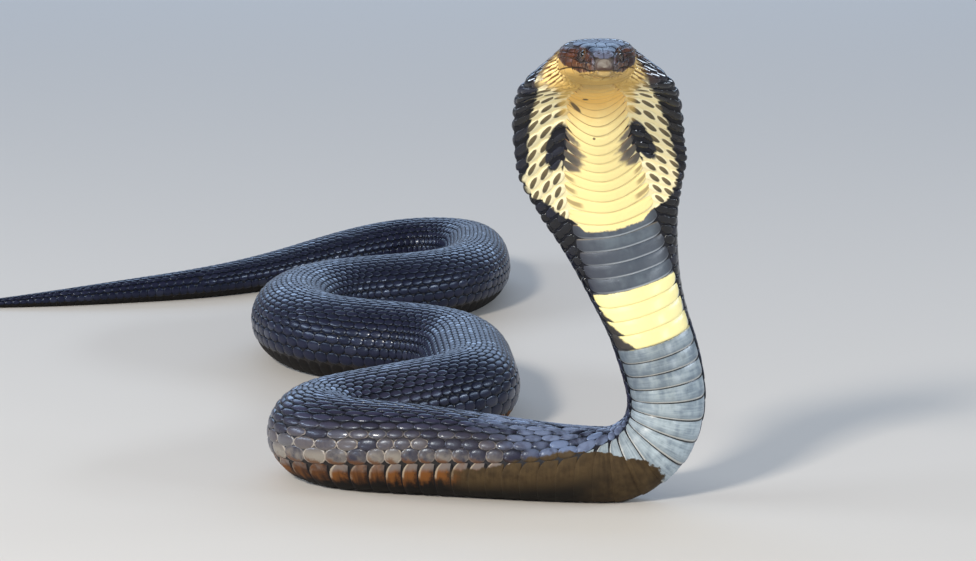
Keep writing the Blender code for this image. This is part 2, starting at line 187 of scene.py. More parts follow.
def smoothstep(t):
    t = np.clip(t, 0, 1)
    return t * t * (3 - 2 * t)


def unit(v):
    return v / np.linalg.norm(v, axis=-1, keepdims=True)


def evenly(points, step):
    """The same line with a point at every step along it."""
    length = np.concatenate([[0], np.cumsum(np.linalg.norm(np.diff(points, axis=0), axis=1))])
    at = np.arange(0, length[-1] + step / 2, step)
    return np.stack([np.interp(at, length, points[:, k]) for k in range(3)], axis=1)


def raised_line():
    chord = np.concatenate([[0], np.cumsum(np.linalg.norm(np.diff(RISE, axis=0), axis=1))])
    keys = np.column_stack([chord, RISE])
    return evenly(through(keys, np.arange(0, chord[-1], STATION / 4)), STATION)


def lying_line(start_u):
    along = np.arange(STATION, LYING_LENGTH, STATION)
    heading = np.full_like(along, np.radians(FOOT_HEADING))
    for middle, span, degrees in BENDS:
        heading += np.radians(degrees) * smoothstep((along - middle) / span + 0.5)
    x = RISE[-1][0] + np.cumsum(np.cos(heading)) * STATION
    y = RISE[-1][1] + np.cumsum(np.sin(heading)) * STATION
    z = SINK * number_through(RADIUS, start_u + along)
    return np.column_stack([x, y, z])


def softened(points, times=60):
    """The line with its kinks taken out by averaging each point with its neighbours."""
    for _ in range(times):
        points[1:-1] = (points[:-2] + 2 * points[1:-1] + points[2:]) / 4
    return points


class Spine:
    """Places and directions along the body."""

    def __init__(self):
        raised = raised_line()
        foot_u = (len(raised) - 1) * STATION
        line = softened(np.vstack([raised, lying_line(foot_u)]))
        self.line = evenly(line, STATION)
        self.tangent = unit(np.gradient(self.line, axis=0))
        faces = through(BELLY_FACES, np.arange(len(self.line)) * STATION)
        faces -= (faces * self.tangent).sum(1, keepdims=True) * self.tangent
        self.belly = unit(faces)
        self.side = np.cross(self.belly, self.tangent)

    def read(self, table, u):
        at = np.clip(np.asarray(u, float) / STATION, 0, len(self.line) - 1.001)
        i = at.astype(int)
        t = (at - i)[..., None]
        return table[i] * (1 - t) + table[i + 1] * t


def hood(u):
    """How far the hood is spread at u, from 0 to 1."""
    return np.clip(number_through(HOOD, u), 0, 1)


def half_width(u):
    spread = hood(u)
    return number_through(RADIUS, u) * (1 + BODY_WIDER * (1 - spread)) + HOOD_SPREAD * spread


def body_surface(spine, u, phi, lift):
    """Points of the body at u along the spine and phi round it, raised by lift."""
    spread = hood(u)
    radius = number_through(RADIUS, u)
    width = half_width(u) + lift
    x = width * np.sin(phi)
    column = np.exp(-((x / HOOD_COLUMN_REACH) ** 2))
    wing, bluntness = np.moveaxis(through(HOOD_WING, u), -1, 0)
    hood_depth = wing + (HOOD_COLUMN - wing) * column
    depth = radius * (1 - spread) + hood_depth * spread + lift
    across = np.cos(phi)
    y = np.sign(across) * np.abs(across) ** (1 - bluntness * spread) * depth
    y = y + HOOD_CURL * spread * (np.abs(x) / np.maximum(width, MM)) ** HOOD_CURL_POWER
    side, belly = spine.read(spine.side, u), spine.read(spine.belly, u)
    points = spine.read(spine.line, u) + side * x[..., None] + belly * y[..., None]
    points[..., 2] = np.maximum(points[..., 2], FLOOR_GAP)
    return points


class HeadLine:
    """The head's middle line, which bends from the neck's direction to the way the snout points."""

    def __init__(self, spine):
        step = 0.5 * MM
        self.at = np.arange(0, HEAD_LENGTH + step, step)
        bend = smoothstep(self.at / NAPE_BEND)[:, None]
        snout = unit(np.array(HEAD_POINTS))
        self.forward = unit((1 - bend) * -spine.tangent[0] + bend * snout)
        right = unit(np.cross((0, 0, 1), snout))
        side = (1 - bend) * spine.side[0] + bend * right
        side -= (side * self.forward).sum(1, keepdims=True) * self.forward
        self.side = unit(side)
        self.up = np.cross(self.forward, self.side)
        steps = np.cumsum(self.forward[:-1] * step, axis=0)
        self.centre = spine.line[0] + np.vstack([[0, 0, 0], steps])

    def place(self, along, across, height):
        """The point at a distance from the nape, across to the animal's left, and up."""
        along = np.asarray(along, float)
        read = [np.stack([np.interp(along, self.at, table[:, k]) for k in range(3)], axis=-1)
                for table in (self.centre, self.side, self.up, self.forward)]
        centre, side, up, forward = read
        beyond = (along - np.clip(along, 0, HEAD_LENGTH))[..., None]
        point = centre + side * np.asarray(across)[..., None]
        point = point + up * np.asarray(height)[..., None]
        return point + forward * beyond


def near(along, across, height, middle, size):
    """1 at the middle of an egg-shaped place on both sides of the head, and 0 away from it."""
    offset = ((along - middle[0]) / size[0]) ** 2
    offset = offset + ((np.abs(across) - middle[1]) / size[1]) ** 2
    return np.exp(-offset - ((height - middle[2]) / size[2]) ** 2)


def head_form(along):
    """The head's half-width, its height above its middle line and its depth below it."""
    return np.moveaxis(through(HEAD_FORM, along), -1, 0)


def head_section(along, psi):
    """Across and height of the head's plain outline at along, psi round it from the crown."""
    width, top, bottom = head_form(along)
    sine, cosine = np.sin(psi), np.cos(psi)
    squareness = np.where(cosine > 0, CROWN_SQUARENESS, CHIN_SQUARENESS)
    across = np.sign(sine) * np.abs(sine) ** squareness * width
    height = np.sign(cosine) * np.abs(cosine) ** squareness * np.where(cosine > 0, top, bottom)
    return across, height


def head_surface(line, along, psi, lift):
    """Points of the head at distances from the nape, and psi round it from the crown."""
    past = np.clip((along - HEAD_LENGTH) / TIP_CAP, 0, 1)
    along = np.minimum(along, HEAD_LENGTH)
    across, height = head_section(along, psi)
    from_mouth = height - number_through(MOUTH, along)
    lips = LIP * np.exp(-(((np.abs(from_mouth) - LIP_WIDTH) / LIP_WIDTH) ** 2))
    lips = lips * smoothstep((along - MOUTH[0][0]) / NAPE_BEND)
    brow = BROW * near(along, across, height, BROW_AT, BROW_SIZE)
    outward = np.hypot(across, height) + TINY
    swell = (lips + brow + lift) / outward
    at_tip = smoothstep((along - HEAD_LENGTH + TIP_LIFT_OVER) / TIP_LIFT_OVER)
    forward = at_tip * lift + TIP_DOME * (1 - (1 - past) ** 2)
    shrink = 1 - past
    return line.place(along + forward, across * (1 + swell) * shrink, height * (1 + swell) * shrink)


spine = Spine()
head_line = HeadLine(spine)
low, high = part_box("eye_left")
SHIFT = np.array((low + high) / 2) - head_line.place(*EYE_AT)


def coat(v, phi, lift=0.0):
    """Points of the animal's outer surface, raised by lift."""
    v, phi, lift = np.broadcast_arrays(np.asarray(v, float), np.asarray(phi, float), np.asarray(lift, float))
    on_body = body_surface(spine, np.maximum(v, JOIN), phi, lift)
    on_head = head_surface(head_line, -np.minimum(v, -JOIN), np.pi - phi, lift)
    share = np.clip((v + JOIN) / (2 * JOIN), 0, 1)[..., None]
    return share * on_body + (1 - share) * on_head + SHIFT


class Girth:
    """How far it is round the body at each v, from the belly's midline to the spine."""

    def __init__(self):
        self.start, self.step = GIRTH_START, 1.0 * MM
        v = np.arange(self.start, COAT_END + self.step, self.step)
        self.phi = np.linspace(0, np.pi, GIRTH_TURNS + 1)
        grid = coat(v[:, None], self.phi[None, :])
        runs = np.linalg.norm(np.diff(grid, axis=1), axis=2)
        self.arc = np.concatenate([np.zeros((len(v), 1)), np.cumsum(runs, axis=1)], axis=1)
        shares = np.linspace(0, 1, GIRTH_TURNS + 1)
        self.by_share = np.stack([np.interp(shares, a / max(a[-1], TINY), self.phi) for a in self.arc])

    def rows(self, v):
        at = np.clip((np.asarray(v, float) - self.start) / self.step, 0, len(self.arc) - 1.001)
        return at.astype(int), at - at.astype(int)

    def read(self, table, v, at):
        """The table between its rows at v and between its columns at a place along them."""
        i, t = self.rows(v)
        at = np.clip(at, 0, GIRTH_TURNS - 0.001)
        j = at.astype(int)
        s = at - j
        first = table[i, j] * (1 - s) + table[i, j + 1] * s
        second = table[i + 1, j] * (1 - s) + table[i + 1, j + 1] * s
        return first * (1 - t) + second * t

    def half(self, v):
        i, t = self.rows(v)
        return self.arc[i, -1] * (1 - t) + self.arc[i + 1, -1] * t

    def turn(self, v, share):
        """phi at a share of the way round, from 0 at the belly to 1 at the spine, signed by side."""
        share = (np.asarray(share, float) + 1) % 2 - 1
        return np.sign(share) * self.read(self.by_share, v, np.abs(share) * GIRTH_TURNS)

    def reach(self, v, phi):
        """The distance round from the belly's midline at phi, signed by side."""
        folded = (np.asarray(phi, float) + np.pi) % (2 * np.pi) - np.pi
        return np.sign(folded) * self.read(self.arc, v, np.abs(folded) / np.pi * GIRTH_TURNS)


girth = Girth()


def mouth_turn(along):
    """phi of the line of the mouth on the head."""
    down = np.clip(-number_through(MOUTH, along) / head_form(along)[2], 0, 1)
    down = down ** (1 / CHIN_SQUARENESS)
    return np.pi - np.arccos(-down)


def markings(v, phi):
    """The markings as distances: into the pale hood, into a dark spot, past the dark band's edge."""
    v, phi = np.broadcast_arrays(np.asarray(v, float), np.asarray(phi, float))
    reach = girth.reach(v, phi)
    limit = np.where(reach > 0, number_through(PALE_RIGHT, v), number_through(PALE_LEFT, v))
    pale = limit - np.abs(reach)
    past = v - SPOT_AT[0]
    beside = np.abs(reach) - SPOT_AT[1] - SPOT_SLANT * past
    spot = 1 - np.hypot(past / SPOT_SIZE[0], beside / SPOT_SIZE[1])
    return np.stack([pale, spot, v - BAND_START], axis=-1)


def places(v, phi):
    v, phi = np.broadcast_arrays(np.asarray(v, float), np.asarray(phi, float))
    return np.stack([v, girth.reach(v, phi), np.cos(phi)], axis=-1)


def unwrap(v, phi):
    """The place on the flat unwrap of the coat."""
    along = (v + UNWRAP_START) / STRIP
    strip = np.floor(along)
    turn = (phi / (2 * np.pi)) % 1
    return np.stack([along - strip, (strip + turn) / 3], axis=-1)


def solid(name, points, faces, fields, loop_uv, material):
    """A mesh object from points, groups of faces with the same number of corners, and its fields."""
    mesh = bpy.data.meshes.new(name)
    counts = np.concatenate([np.full(len(g), g.shape[1]) for g in faces])
    corners = np.concatenate([g.ravel() for g in faces]).astype(np.int32)
    starts = np.concatenate([[0], np.cumsum(counts)[:-1]]).astype(np.int32)
    mesh.vertices.add(len(points))
    mesh.vertices.foreach_set("co", points.astype(np.float32).ravel())
    mesh.loops.add(len(corners))
    mesh.loops.foreach_set("vertex_index", corners)
    mesh.polygons.add(len(counts))
    mesh.polygons.foreach_set("loop_start", starts)
    mesh.update(calc_edges=True)
    mesh.shade_smooth()
    for field, values in fields.items():
        layer = mesh.attributes.new(field, "FLOAT_VECTOR", "POINT")
        layer.data.foreach_set("vector", values.astype(np.float32).ravel())
    uv = mesh.uv_layers.new(name="OFBake")
    uv.data.foreach_set("uv", loop_uv.astype(np.float32).ravel())
    mesh.materials.append(material)
    thing = bpy.data.objects.new(name, mesh)
    bpy.context.scene.collection.objects.link(thing)
    return thing


def outward_faces(points, faces, centre):
    """The same faces, turned over if most of them face towards the centre."""
    sample = faces[0][:: max(1, len(faces[0]) // 500)]
    a, b, c = (points[sample[:, k]] for k in range(3))
    facing = (np.cross(b - a, c - a) * (a - centre(sample))).sum(1)
    if (facing < 0).sum() > len(facing) / 2:
        return [g[:, ::-1] for g in faces]
    return faces


def closed_rings(count, sides):
    """Faces over rings of points in turn, closed by fans to the two points that come after them."""
    index = np.arange(count * sides).reshape(count, sides)
    after = np.roll(index, -1, axis=1)
    quads = np.stack([index[:-1], index[1:], after[1:], after[:-1]], axis=-1).reshape(-1, 4)
    first, last = count * sides, count * sides + 1
    fans = [(first, a, b) for a, b in zip(index[0], after[0])]
    fans += [(b, a, last) for a, b in zip(index[-1], after[-1])]
    return [quads, np.array(fans)]


def skin_turns(v):
    """phi of each column of the skin at one ring: on the head one column keeps to the mouth."""
    even = np.linspace(0, np.pi, SKIN_SIDES // 2 + 1)
    if v > -JOIN:
        return even
    mouth = mouth_turn(-v)
    column = SKIN_SIDES // 2 - MOUTH_COLUMN
    below = np.linspace(0, mouth - GROOVE_TURN, column)
    above = np.linspace(mouth + GROOVE_TURN, np.pi, MOUTH_COLUMN)
    fitted = np.concatenate([below, [mouth], above])
    share = smoothstep((-v - JOIN) / 0.006)
    return even * (1 - share) + fitted * share


def skin_rings():
    on_tip = -HEAD_LENGTH - TIP_CAP * np.array([0.97, 0.8, 0.55, 0.3, 0.1])
    on_head = np.arange(-HEAD_LENGTH, 0.012, HEAD_RING)
    behind = np.arange(on_head[-1] + HEAD_RING, COAT_END, SKIN_RING)
    return np.concatenate([on_tip, on_head, behind])


def skin_mesh():
    """The skin's points, faces, fields and unwrap."""
    rings = skin_rings()
    half = np.stack([skin_turns(v) for v in rings])
    phi = np.concatenate([half, -half[:, -2:0:-1]], axis=1)
    v = np.broadcast_to(rings[:, None], phi.shape)
    from_mouth = (np.abs(phi) - mouth_turn(np.maximum(-v, MOUTH[0][0]))) / GROOVE_WIDTH
    groove = np.exp(-(from_mouth**2)) * smoothstep((-v - 0.0085) / 0.002)
    depth = SKIN_DEPTH - (SKIN_DEPTH - HEAD_SKIN_DEPTH) * smoothstep(-v / 0.01)
    points = coat(v, phi, -(depth + MOUTH_GROOVE * groove))
    count, sides = phi.shape
    flat = points.reshape(-1, 3)
    tips = np.stack([flat[:sides].mean(0), flat[-sides:].mean(0)])
    flat = np.vstack([flat, tips])
    all_v = np.concatenate([v.ravel(), [rings[0], rings[-1]]])
    all_phi = np.concatenate([phi.ravel(), [0, 0]])
    fields = {"place": places(all_v, all_phi), "marks": markings(all_v, all_phi),
              "detail": np.tile((0.0, 0.0, 0.5), (len(flat), 1))}
    middle = (rings[:-1] + rings[1:]) / 2 + UNWRAP_START
    strip = np.floor(middle / STRIP)[:, None, None]
    corners = np.stack([rings[:-1], rings[1:], rings[1:], rings[:-1]], axis=-1)[:, None, :]
    along = (corners + UNWRAP_START) / STRIP - strip
    turn = np.arange(sides)[None, :, None] + np.array([0, 0, 1, 1])[None, None, :]
    along = np.broadcast_to(along, (count - 1, sides, 4))
    across = (np.broadcast_to(turn, along.shape) / sides + strip) / 3
    grid_uv = np.stack([along, across], axis=-1).reshape(-1, 2)
    fans = [unwrap(np.full(3 * sides, end), np.linspace(0, 6, 3 * sides)) for end in rings[[0, -1]]]
    return flat, closed_rings(count, sides), fields, np.concatenate([grid_uv, *fans])


class Shade:
    """One value in a material's nodes. Python's arithmetic on it makes Math nodes."""

    def __init__(self, tree, socket):
        self.tree, self.socket = tree, socket

    def make(self, kind, settings=None, inputs=None, output=0):
        """A node of any kind, its settings set first, then its inputs from values or other sockets."""
        node = self.tree.nodes.new(kind)
        for name, value in (settings or {}).items():
            setattr(node, name, value)
        for name, value in (inputs or {}).items():
            if isinstance(value, Shade):
                self.tree.links.new(value.socket, node.inputs[name])
            else:
                node.inputs[name].default_value = value
        return Shade(self.tree, node.outputs[output])

    def maths(self, operation, first, second=0.0, third=0.0):
        return self.make("ShaderNodeMath", {"operation": operation}, {0: first, 1: second, 2: third})

    def __add__(self, other):
        return self.maths("ADD", self, other)

    def __sub__(self, other):
        return self.maths("SUBTRACT", self, other)

    def __mul__(self, other):
        return self.maths("MULTIPLY", self, other)

    def __truediv__(self, other):
        return self.maths("DIVIDE", self, other)

    def __pow__(self, other):
        return self.maths("POWER", self, other)

    def __radd__(self, other):
        return self.maths("ADD", other, self)

    def __rsub__(self, other):
        return self.maths("SUBTRACT", other, self)

    def __neg__(self):
        return self.maths("MULTIPLY", self, -1.0)

    def size(self):
        return self.maths("ABSOLUTE", self)

    def step(self, low, high):
        """0 below low and 1 above high, smooth between; low may be the larger."""
        return self.make("ShaderNodeMapRange", {"interpolation_type": "SMOOTHSTEP"},
                         {"Value": self, "From Min": low, "From Max": high})

    def part(self, index):
        return self.make("ShaderNodeSeparateXYZ", None, {"Vector": self}, output=index)

    def field(self, name):
        return self.make("ShaderNodeAttribute", {"attribute_name": name}, None, output=1)

    def joined(self, x, y, z):
        return self.make("ShaderNodeCombineXYZ", None, {"X": x, "Y": y, "Z": z})

    def noise(self, vector, scale, detail=3.0):
        """Smooth noise about 0, from about -0.5 to 0.5."""
        made = self.make("ShaderNodeTexNoise", None, {"Vector": vector, "Scale": scale, "Detail": detail})
        return made - 0.5

    def blend(self, share, other):
        """This colour where share is 0, and the other, a Shade or three numbers, where it is 1."""
        if not isinstance(other, Shade):
            other = (*other, 1.0)
        return self.make("ShaderNodeMix", {"data_type": "RGBA"}, {0: share, 6: self, 7: other}, output=2)

    def colour(self, red, green, blue):
        return self.make("ShaderNodeCombineColor", None, {"Red": red, "Green": green, "Blue": blue})


def new_material(name, **constants):
    """A material, its shader with the constants set, and a first Shade to build on."""
    made = bpy.data.materials.new(name)
    made.use_nodes = True
    shader = made.node_tree.nodes["Principled BSDF"]
    for socket, value in constants.items():
        shader.inputs[socket.replace("_", " ")].default_value = value
    return made, shader, Shade(made.node_tree, None)


def feed(shade, shader, **sockets):
    for socket, value in sockets.items():
        shade.tree.links.new(value.socket, shader.inputs[socket.replace("_", " ")])


def bump(shade, shader, height, distance):
    raised = shade.make("ShaderNodeBump", None, {"Height": height, "Distance": distance, "Strength": 1.0})
    feed(shade, shader, Normal=raised)


class Coat:
    """The fields of the coat as Shades, and the colours of its regions."""

    def __init__(self, shade):
        place, marks, detail = (shade.field(n) for n in ("place", "marks", "detail"))
        self.shade = shade
        self.spot_on_model = shade.make("ShaderNodeTexCoord", None, None, output=3)
        self.v, self.reach, self.facing = place.part(0), place.part(1), place.part(2)
        self.round = self.reach.size()
        self.pale, self.spot, self.band = marks.part(0), marks.part(1), marks.part(2)
        self.along, self.across, self.random = detail.part(0), detail.part(1), detail.part(2)
        self.fine = shade.noise(self.spot_on_model, 900.0)
        self.middling = shade.noise(self.spot_on_model, 260.0)
        self.broad = shade.noise(self.spot_on_model, 45.0)

    def dark(self):
        """The back: black to dark navy, browner low on the sides."""
        s = self.shade
        black = s.colour(0.0030, 0.0032, 0.0055)
        navy = s.colour(0.0065, 0.0085, 0.022)
        brown = s.colour(0.014, 0.010, 0.007)
        mixed = black.blend((self.broad + self.random - 0.2).step(0.0, 0.9), navy)
        low = self.facing.step(-0.1, 0.6) * self.v.step(0.22, 0.30)
        return mixed.blend(low * 0.8, brown)

    def mud(self):
        """The film of wet mud on the foot of the raised neck."""
        ragged = self.middling * 0.007 + self.broad * 0.004 + self.fine * 0.002
        edge = self.reach * self.reach * 35.0 - self.reach * 0.37 + 0.2093
        across = self.shade.noise(self.shade.joined(self.v * 150.0, 0.0, 0.0), 1.0) * 0.007
        upper = (self.v - 0.235).step(0.0, 0.060) * -0.006 + 0.0265
        over = (self.v + ragged - edge).step(-0.0006, 0.0006)
        below = (self.round + across + ragged * 0.5 - upper).step(0.0008, -0.0008)
        return over * below * (self.v + ragged * 2.0).step(0.300, 0.285)

    def mud_colour(self):
        s = self.shade
        streak = s.noise(s.joined(self.v * 500.0, self.round * 60.0, 0.0), 1.0)
        wet = s.colour(0.080, 0.050, 0.020)
        wet = wet.blend((streak + self.middling + 0.45).step(0.0, 0.9), (0.032, 0.019, 0.008))
        dry = (self.round + streak * 0.012).step(0.0190, 0.0255) * self.middling.step(-0.15, 0.25)
        # Painted shade: low on the foot, towards the belly's midline where the body meets the floor, the mud
        # is painted near-black.
        low = (self.round + self.middling * 0.006 + streak * 0.004).step(0.0165, 0.0050)
        low = low * self.v.step(0.215, 0.245)
        return wet.blend(dry * 0.6, (0.110, 0.076, 0.040)).blend(low * 0.95, (0.003, 0.0025, 0.002))

    def shadow(self):
        """How far a dark finger reaches in over the belly plates from the spot on each side of the hood."""
        jagged = (self.along - 0.5).size() * 0.0060 + self.middling * 0.005 + self.random * 0.003
        bulge = (self.v - 0.0535) * (self.v - 0.0535) * 30.0
        return self.round - bulge - jagged

    def spot_side(self):
        """1 along the stretch of the hood that has the two spots."""
        return (self.v + self.middling * 0.003).step(0.0372, 0.0392) * self.v.step(0.0640, 0.0622)

    def beside_spot(self, edge):
        """The dark scales between each spot and the belly plates, out to edge from the midline."""
        outer = (self.round - edge).step(0.0, -0.0008)
        inner = (self.round + (0.0465 - self.v) * 0.3).step(0.0128, 0.0136)
        return outer * inner * self.spot_side()

    def fleck(self, v, reach, size, slant=0.0):
        """1 inside one small slanting mark on the coat, and 0 outside it."""
        along, across = (self.v - v) / size[0], (self.reach - reach - (self.v - v) * slant) / size[1]
        return (along * along + across * across + self.middling * 0.8).step(1.4, 0.5)

    def crease_shade(self):
        """Painted shade in fine creases across the skin under the chin, as darker lines."""
        place = self.shade.joined(self.v * 230.0, self.reach * 25.0, 0.0)
        return self.shade.noise(place, 1.0).step(0.0, 0.12)

    def cream(self):
        """The pale front of the hood, orange at the throat."""
        s = self.shade
        olive = s.colour(0.47, 0.31, 0.10)
        orange = s.colour(0.84, 0.49, 0.11)
        yellow = s.colour(0.98, 0.80, 0.35)
        throat = olive.blend((self.v + self.middling * 0.01).step(-0.010, 0.008), orange)
        return throat.blend((self.v + self.middling * 0.01).step(0.014, 0.042), yellow)


def skin_material():
    made, shader, s = new_material("skin", Roughness=0.55, Specular_IOR_Level=0.35)
    c = Coat(s)
    pale = (c.pale + c.middling * 0.0016).step(-0.0003, 0.0006) * c.band.step(0.001, -0.001)
    pale = pale * (c.spot + c.fine * 0.3).step(0.10, -0.10) * (1 - c.beside_spot(0.0190))
    body = c.dark().blend(pale, (0.92, 0.80, 0.46))
    throat = c.round.step(0.017, 0.012)
    cheek = s.colour(0.22, 0.10, 0.03).blend(throat, (0.55, 0.34, 0.10))
    body = body.blend(c.v.step(0.020, 0.006) * pale, cheek)
    lips = c.v.step(-0.006, -0.012)
    line = s.colour(0.020, 0.012, 0.008).blend(c.v.step(-0.0440, -0.0455), (0.10, 0.08, 0.07))
    line = line.blend(c.v.step(-0.026, -0.020) * c.facing.step(-0.30, -0.05), (0.17, 0.095, 0.03))
    body = body.blend(lips, line)
    chin = lips * c.round.step(0.016, 0.010) * c.facing.step(0.30, 0.55)
    feed(s, shader, Base_Color=body.blend(chin, (0.34, 0.22, 0.07)))
    bump(s, shader, c.fine, 0.0001)
    return made


skin_points, skin_faces, skin_fields, skin_uv = skin_mesh()
ring_centres = skin_points[: -2].reshape(-1, SKIN_SIDES, 3).mean(1)
skin_faces = outward_faces(skin_points, skin_faces, lambda corners: ring_centres[corners[:, 0] // SKIN_SIDES])
skin = solid("skin", skin_points, skin_faces, skin_fields, skin_uv, skin_material())
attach(skin, "root")
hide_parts("head", "lower_jaw", "hood", "neck", "torso_front", "torso_second", "torso_third",
            "torso_rear", "torso_end", "tail")

# The scales of the back and sides. Each is a thin horny plate, smooth and glossy, grown on the
# skin at its front end and lying free at its tip, in slanting rows that keep to the body's own
# turns. Here each is a closed low dome over the skin, with its tip raised over the next.
# From and to along the body, and how many rows there are from the belly plates to the spine.
SIDE_ROWS = ((0.152, 0.950, 11), (0.950, 1.050, 8), (1.050, 1.150, 6), (1.150, 1.220, 4), (1.220, 1.292, 3))
ROW_PITCH = (  # v, the distance from one scale to the next in its row
    (-0.020, 0.0056), (0.003, 0.0060), (0.008, 0.0078), (0.030, 0.0080), (0.050, 0.0073),
    (0.070, 0.0065), (0.090, 0.0058), (0.130, 0.0056), (0.170, 0.0064), (0.250, 0.0075),
    (0.400, 0.0073), (0.470, 0.0061), (0.850, 0.0058), (1.050, 0.0050), (1.292, 0.0038),
)
# How wide each row is, by its share of the rows from the belly up.
ROW_WEIGHTS = ((0.0, 1.75), (0.1, 1.42), (0.2, 1.22), (0.5, 0.88), (1.0, 0.72))
UNEVEN_FROM = 0.14
UNEVEN_OVER = 0.10
SCALE_TURNS = 14
SCALE_RINGS = (0.0, 0.42, 0.74, 0.92, 1.0)
DOME = np.array((0.09, 0.06, -0.03, -0.20, -0.60)) * MM  # its height at each of the rings
DOME_FULL_AT = 0.004  # the half length at which a dome has its full height
SCALE_BASE = -1.1 * MM
TIP_RAISED = 0.30 * MM
HOOD_POINT = 1.8
BACK_POINT = 2.3
PATCH = 0.003  # the side of one scale's patch on the unwrap


def row_shares(v, count):
    """Shares of the way round of each row's middle on one side, and half its spacing in metres."""
    half = girth.half(v)
    start = number_through(VENTRAL_HALF, v)
    uneven = smoothstep((v - UNEVEN_FROM) / UNEVEN_OVER)[:, None]
    weight = 1 + uneven * (number_through(ROW_WEIGHTS, np.linspace(0, 1, count + 1)) - 1)
    weight = weight / (weight[:, :-1].sum(1, keepdims=True) + weight[:, -1:] / 2)
    middles = np.cumsum(weight, axis=1) - weight / 2
    middles[:, -1] = 1.0
    free = (half - start)[:, None]
    return (start[:, None] + free * middles) / half[:, None], free * weight


def lattice(start, end, count):
    """v, share round, half-width and side of every scale between two stations."""
    stations = [start]
    while stations[-1] < end:
        stations.append(stations[-1] + float(number_through(ROW_PITCH, stations[-1])) / 2)
    stations = np.array(stations[:-1])
    shares, widths = row_shares(stations, count)
    half_steps = np.arange(len(stations))[:, None] + np.arange(count, -1, -1)[None, :]
    kept = half_steps % 2 == 0
    v = np.broadcast_to(stations[:, None], shares.shape)[kept]
    share, width = shares[kept], widths[kept]
    row = np.broadcast_to(np.arange(count + 1)[None, :], shares.shape)[kept]
    both = np.concatenate([share, -share[row < count]])
    pick = row < count
    return np.concatenate([v, v[pick]]), both, np.concatenate([width, width[pick]])


def superellipse(turns, point):
    """A lens for a point under 2, and a rounded oblong above it."""
    turn = np.arange(turns) * 2 * np.pi / turns
    along = np.sign(np.cos(turn)) * np.abs(np.cos(turn)) ** (2 / point)
    across = np.sign(np.sin(turn)) * np.abs(np.sin(turn)) ** (2 / point)
    return along, across


def domes(v, share, half_long, half_wide, slant=0.0, raised=TIP_RAISED, height=1.0, bead=0.0,
          point=HOOD_POINT, seed=1):
    """Points, faces, fields and unwrap of closed domes set on the coat, one to each v."""
    along, across = superellipse(SCALE_TURNS, point)
    rings = np.array(SCALE_RINGS[1:])
    s = np.concatenate([[0], (rings[:, None] * along).ravel(), 1.0 * along])
    t = np.concatenate([[0], (rings[:, None] * across).ravel(), 1.0 * across])
    lift = np.concatenate([[DOME[0]], np.repeat(DOME[1:], SCALE_TURNS)])
    falling = 1 - np.concatenate([[0], np.repeat(rings**2, SCALE_TURNS)])
    ball = DOME[-1] + (DOME[0] - DOME[-1]) * falling
    lift = lift + (ball - lift) * np.reshape(bead, (-1, 1))
    lift = (lift - DOME[-1]) * np.reshape(height, (-1, 1)) + DOME[-1]
    lift = np.broadcast_to(lift, (len(v), lift.shape[1]))
    lift = np.concatenate([lift, np.full((len(v), SCALE_TURNS), SCALE_BASE)], axis=1)
    top = np.concatenate([[1], np.repeat((1 - rings**6), SCALE_TURNS), np.zeros(SCALE_TURNS)])
    at_v = v[:, None] + s * half_long[:, None]
    outward = np.sign(share)[:, None]
    metres = t * half_wide[:, None] + outward * slant * s * half_long[:, None]
    at_share = share[:, None] + metres / girth.half(v)[:, None]
    phi = girth.turn(at_v, at_share)
    size = np.clip(half_long / DOME_FULL_AT, 0.35, 1.1)[:, None]
    tipped = raised * size * (0.5 + 0.5 * s) * top
    points = coat(at_v, phi, lift * np.where(lift > SCALE_BASE, size, 1) + tipped)
    per = points.shape[1]
    base = (np.arange(len(v)) * per)[:, None]
    turn = np.arange(SCALE_TURNS)
    after = (turn + 1) % SCALE_TURNS
    fan = np.stack([np.zeros_like(turn), 1 + turn, 1 + after], axis=1)
    quads = []
    for ring in range(len(rings)):
        first, second = 1 + ring * SCALE_TURNS, 1 + (ring + 1) * SCALE_TURNS
        quads.append(np.stack([first + turn, second + turn, second + after, first + after], axis=1))
    quads = np.concatenate(quads)
    bottom = (1 + len(rings) * SCALE_TURNS + turn)[None, ::-1]
    faces = [(g[None] + base[:, :, None]).reshape(-1, g.shape[1]) for g in (fan, quads, bottom)]
    random = np.random.default_rng(seed).random(len(v))
    detail = np.stack([np.broadcast_to(s, at_v.shape), np.broadcast_to(t, at_v.shape),
                       np.broadcast_to(random[:, None], at_v.shape)], axis=-1)
    fields = {"place": places(at_v, phi), "marks": markings(at_v, phi), "detail": detail}
    root = unwrap(v, girth.turn(v, share))[:, None]
    uv = root + PATCH / 2 * np.stack([s, t], axis=-1)[None]
    flat = points.reshape(-1, 3)
    centres = coat(v, girth.turn(v, share), -3 * MM)
    faces = outward_faces(flat, faces, lambda corners: centres[corners[:, 0] // per])
    fields = {k: f.reshape(-1, 3) for k, f in fields.items()}
    corner_uv = uv.reshape(-1, 2)[np.concatenate([g.ravel() for g in faces])]
    return flat, faces, fields, corner_uv


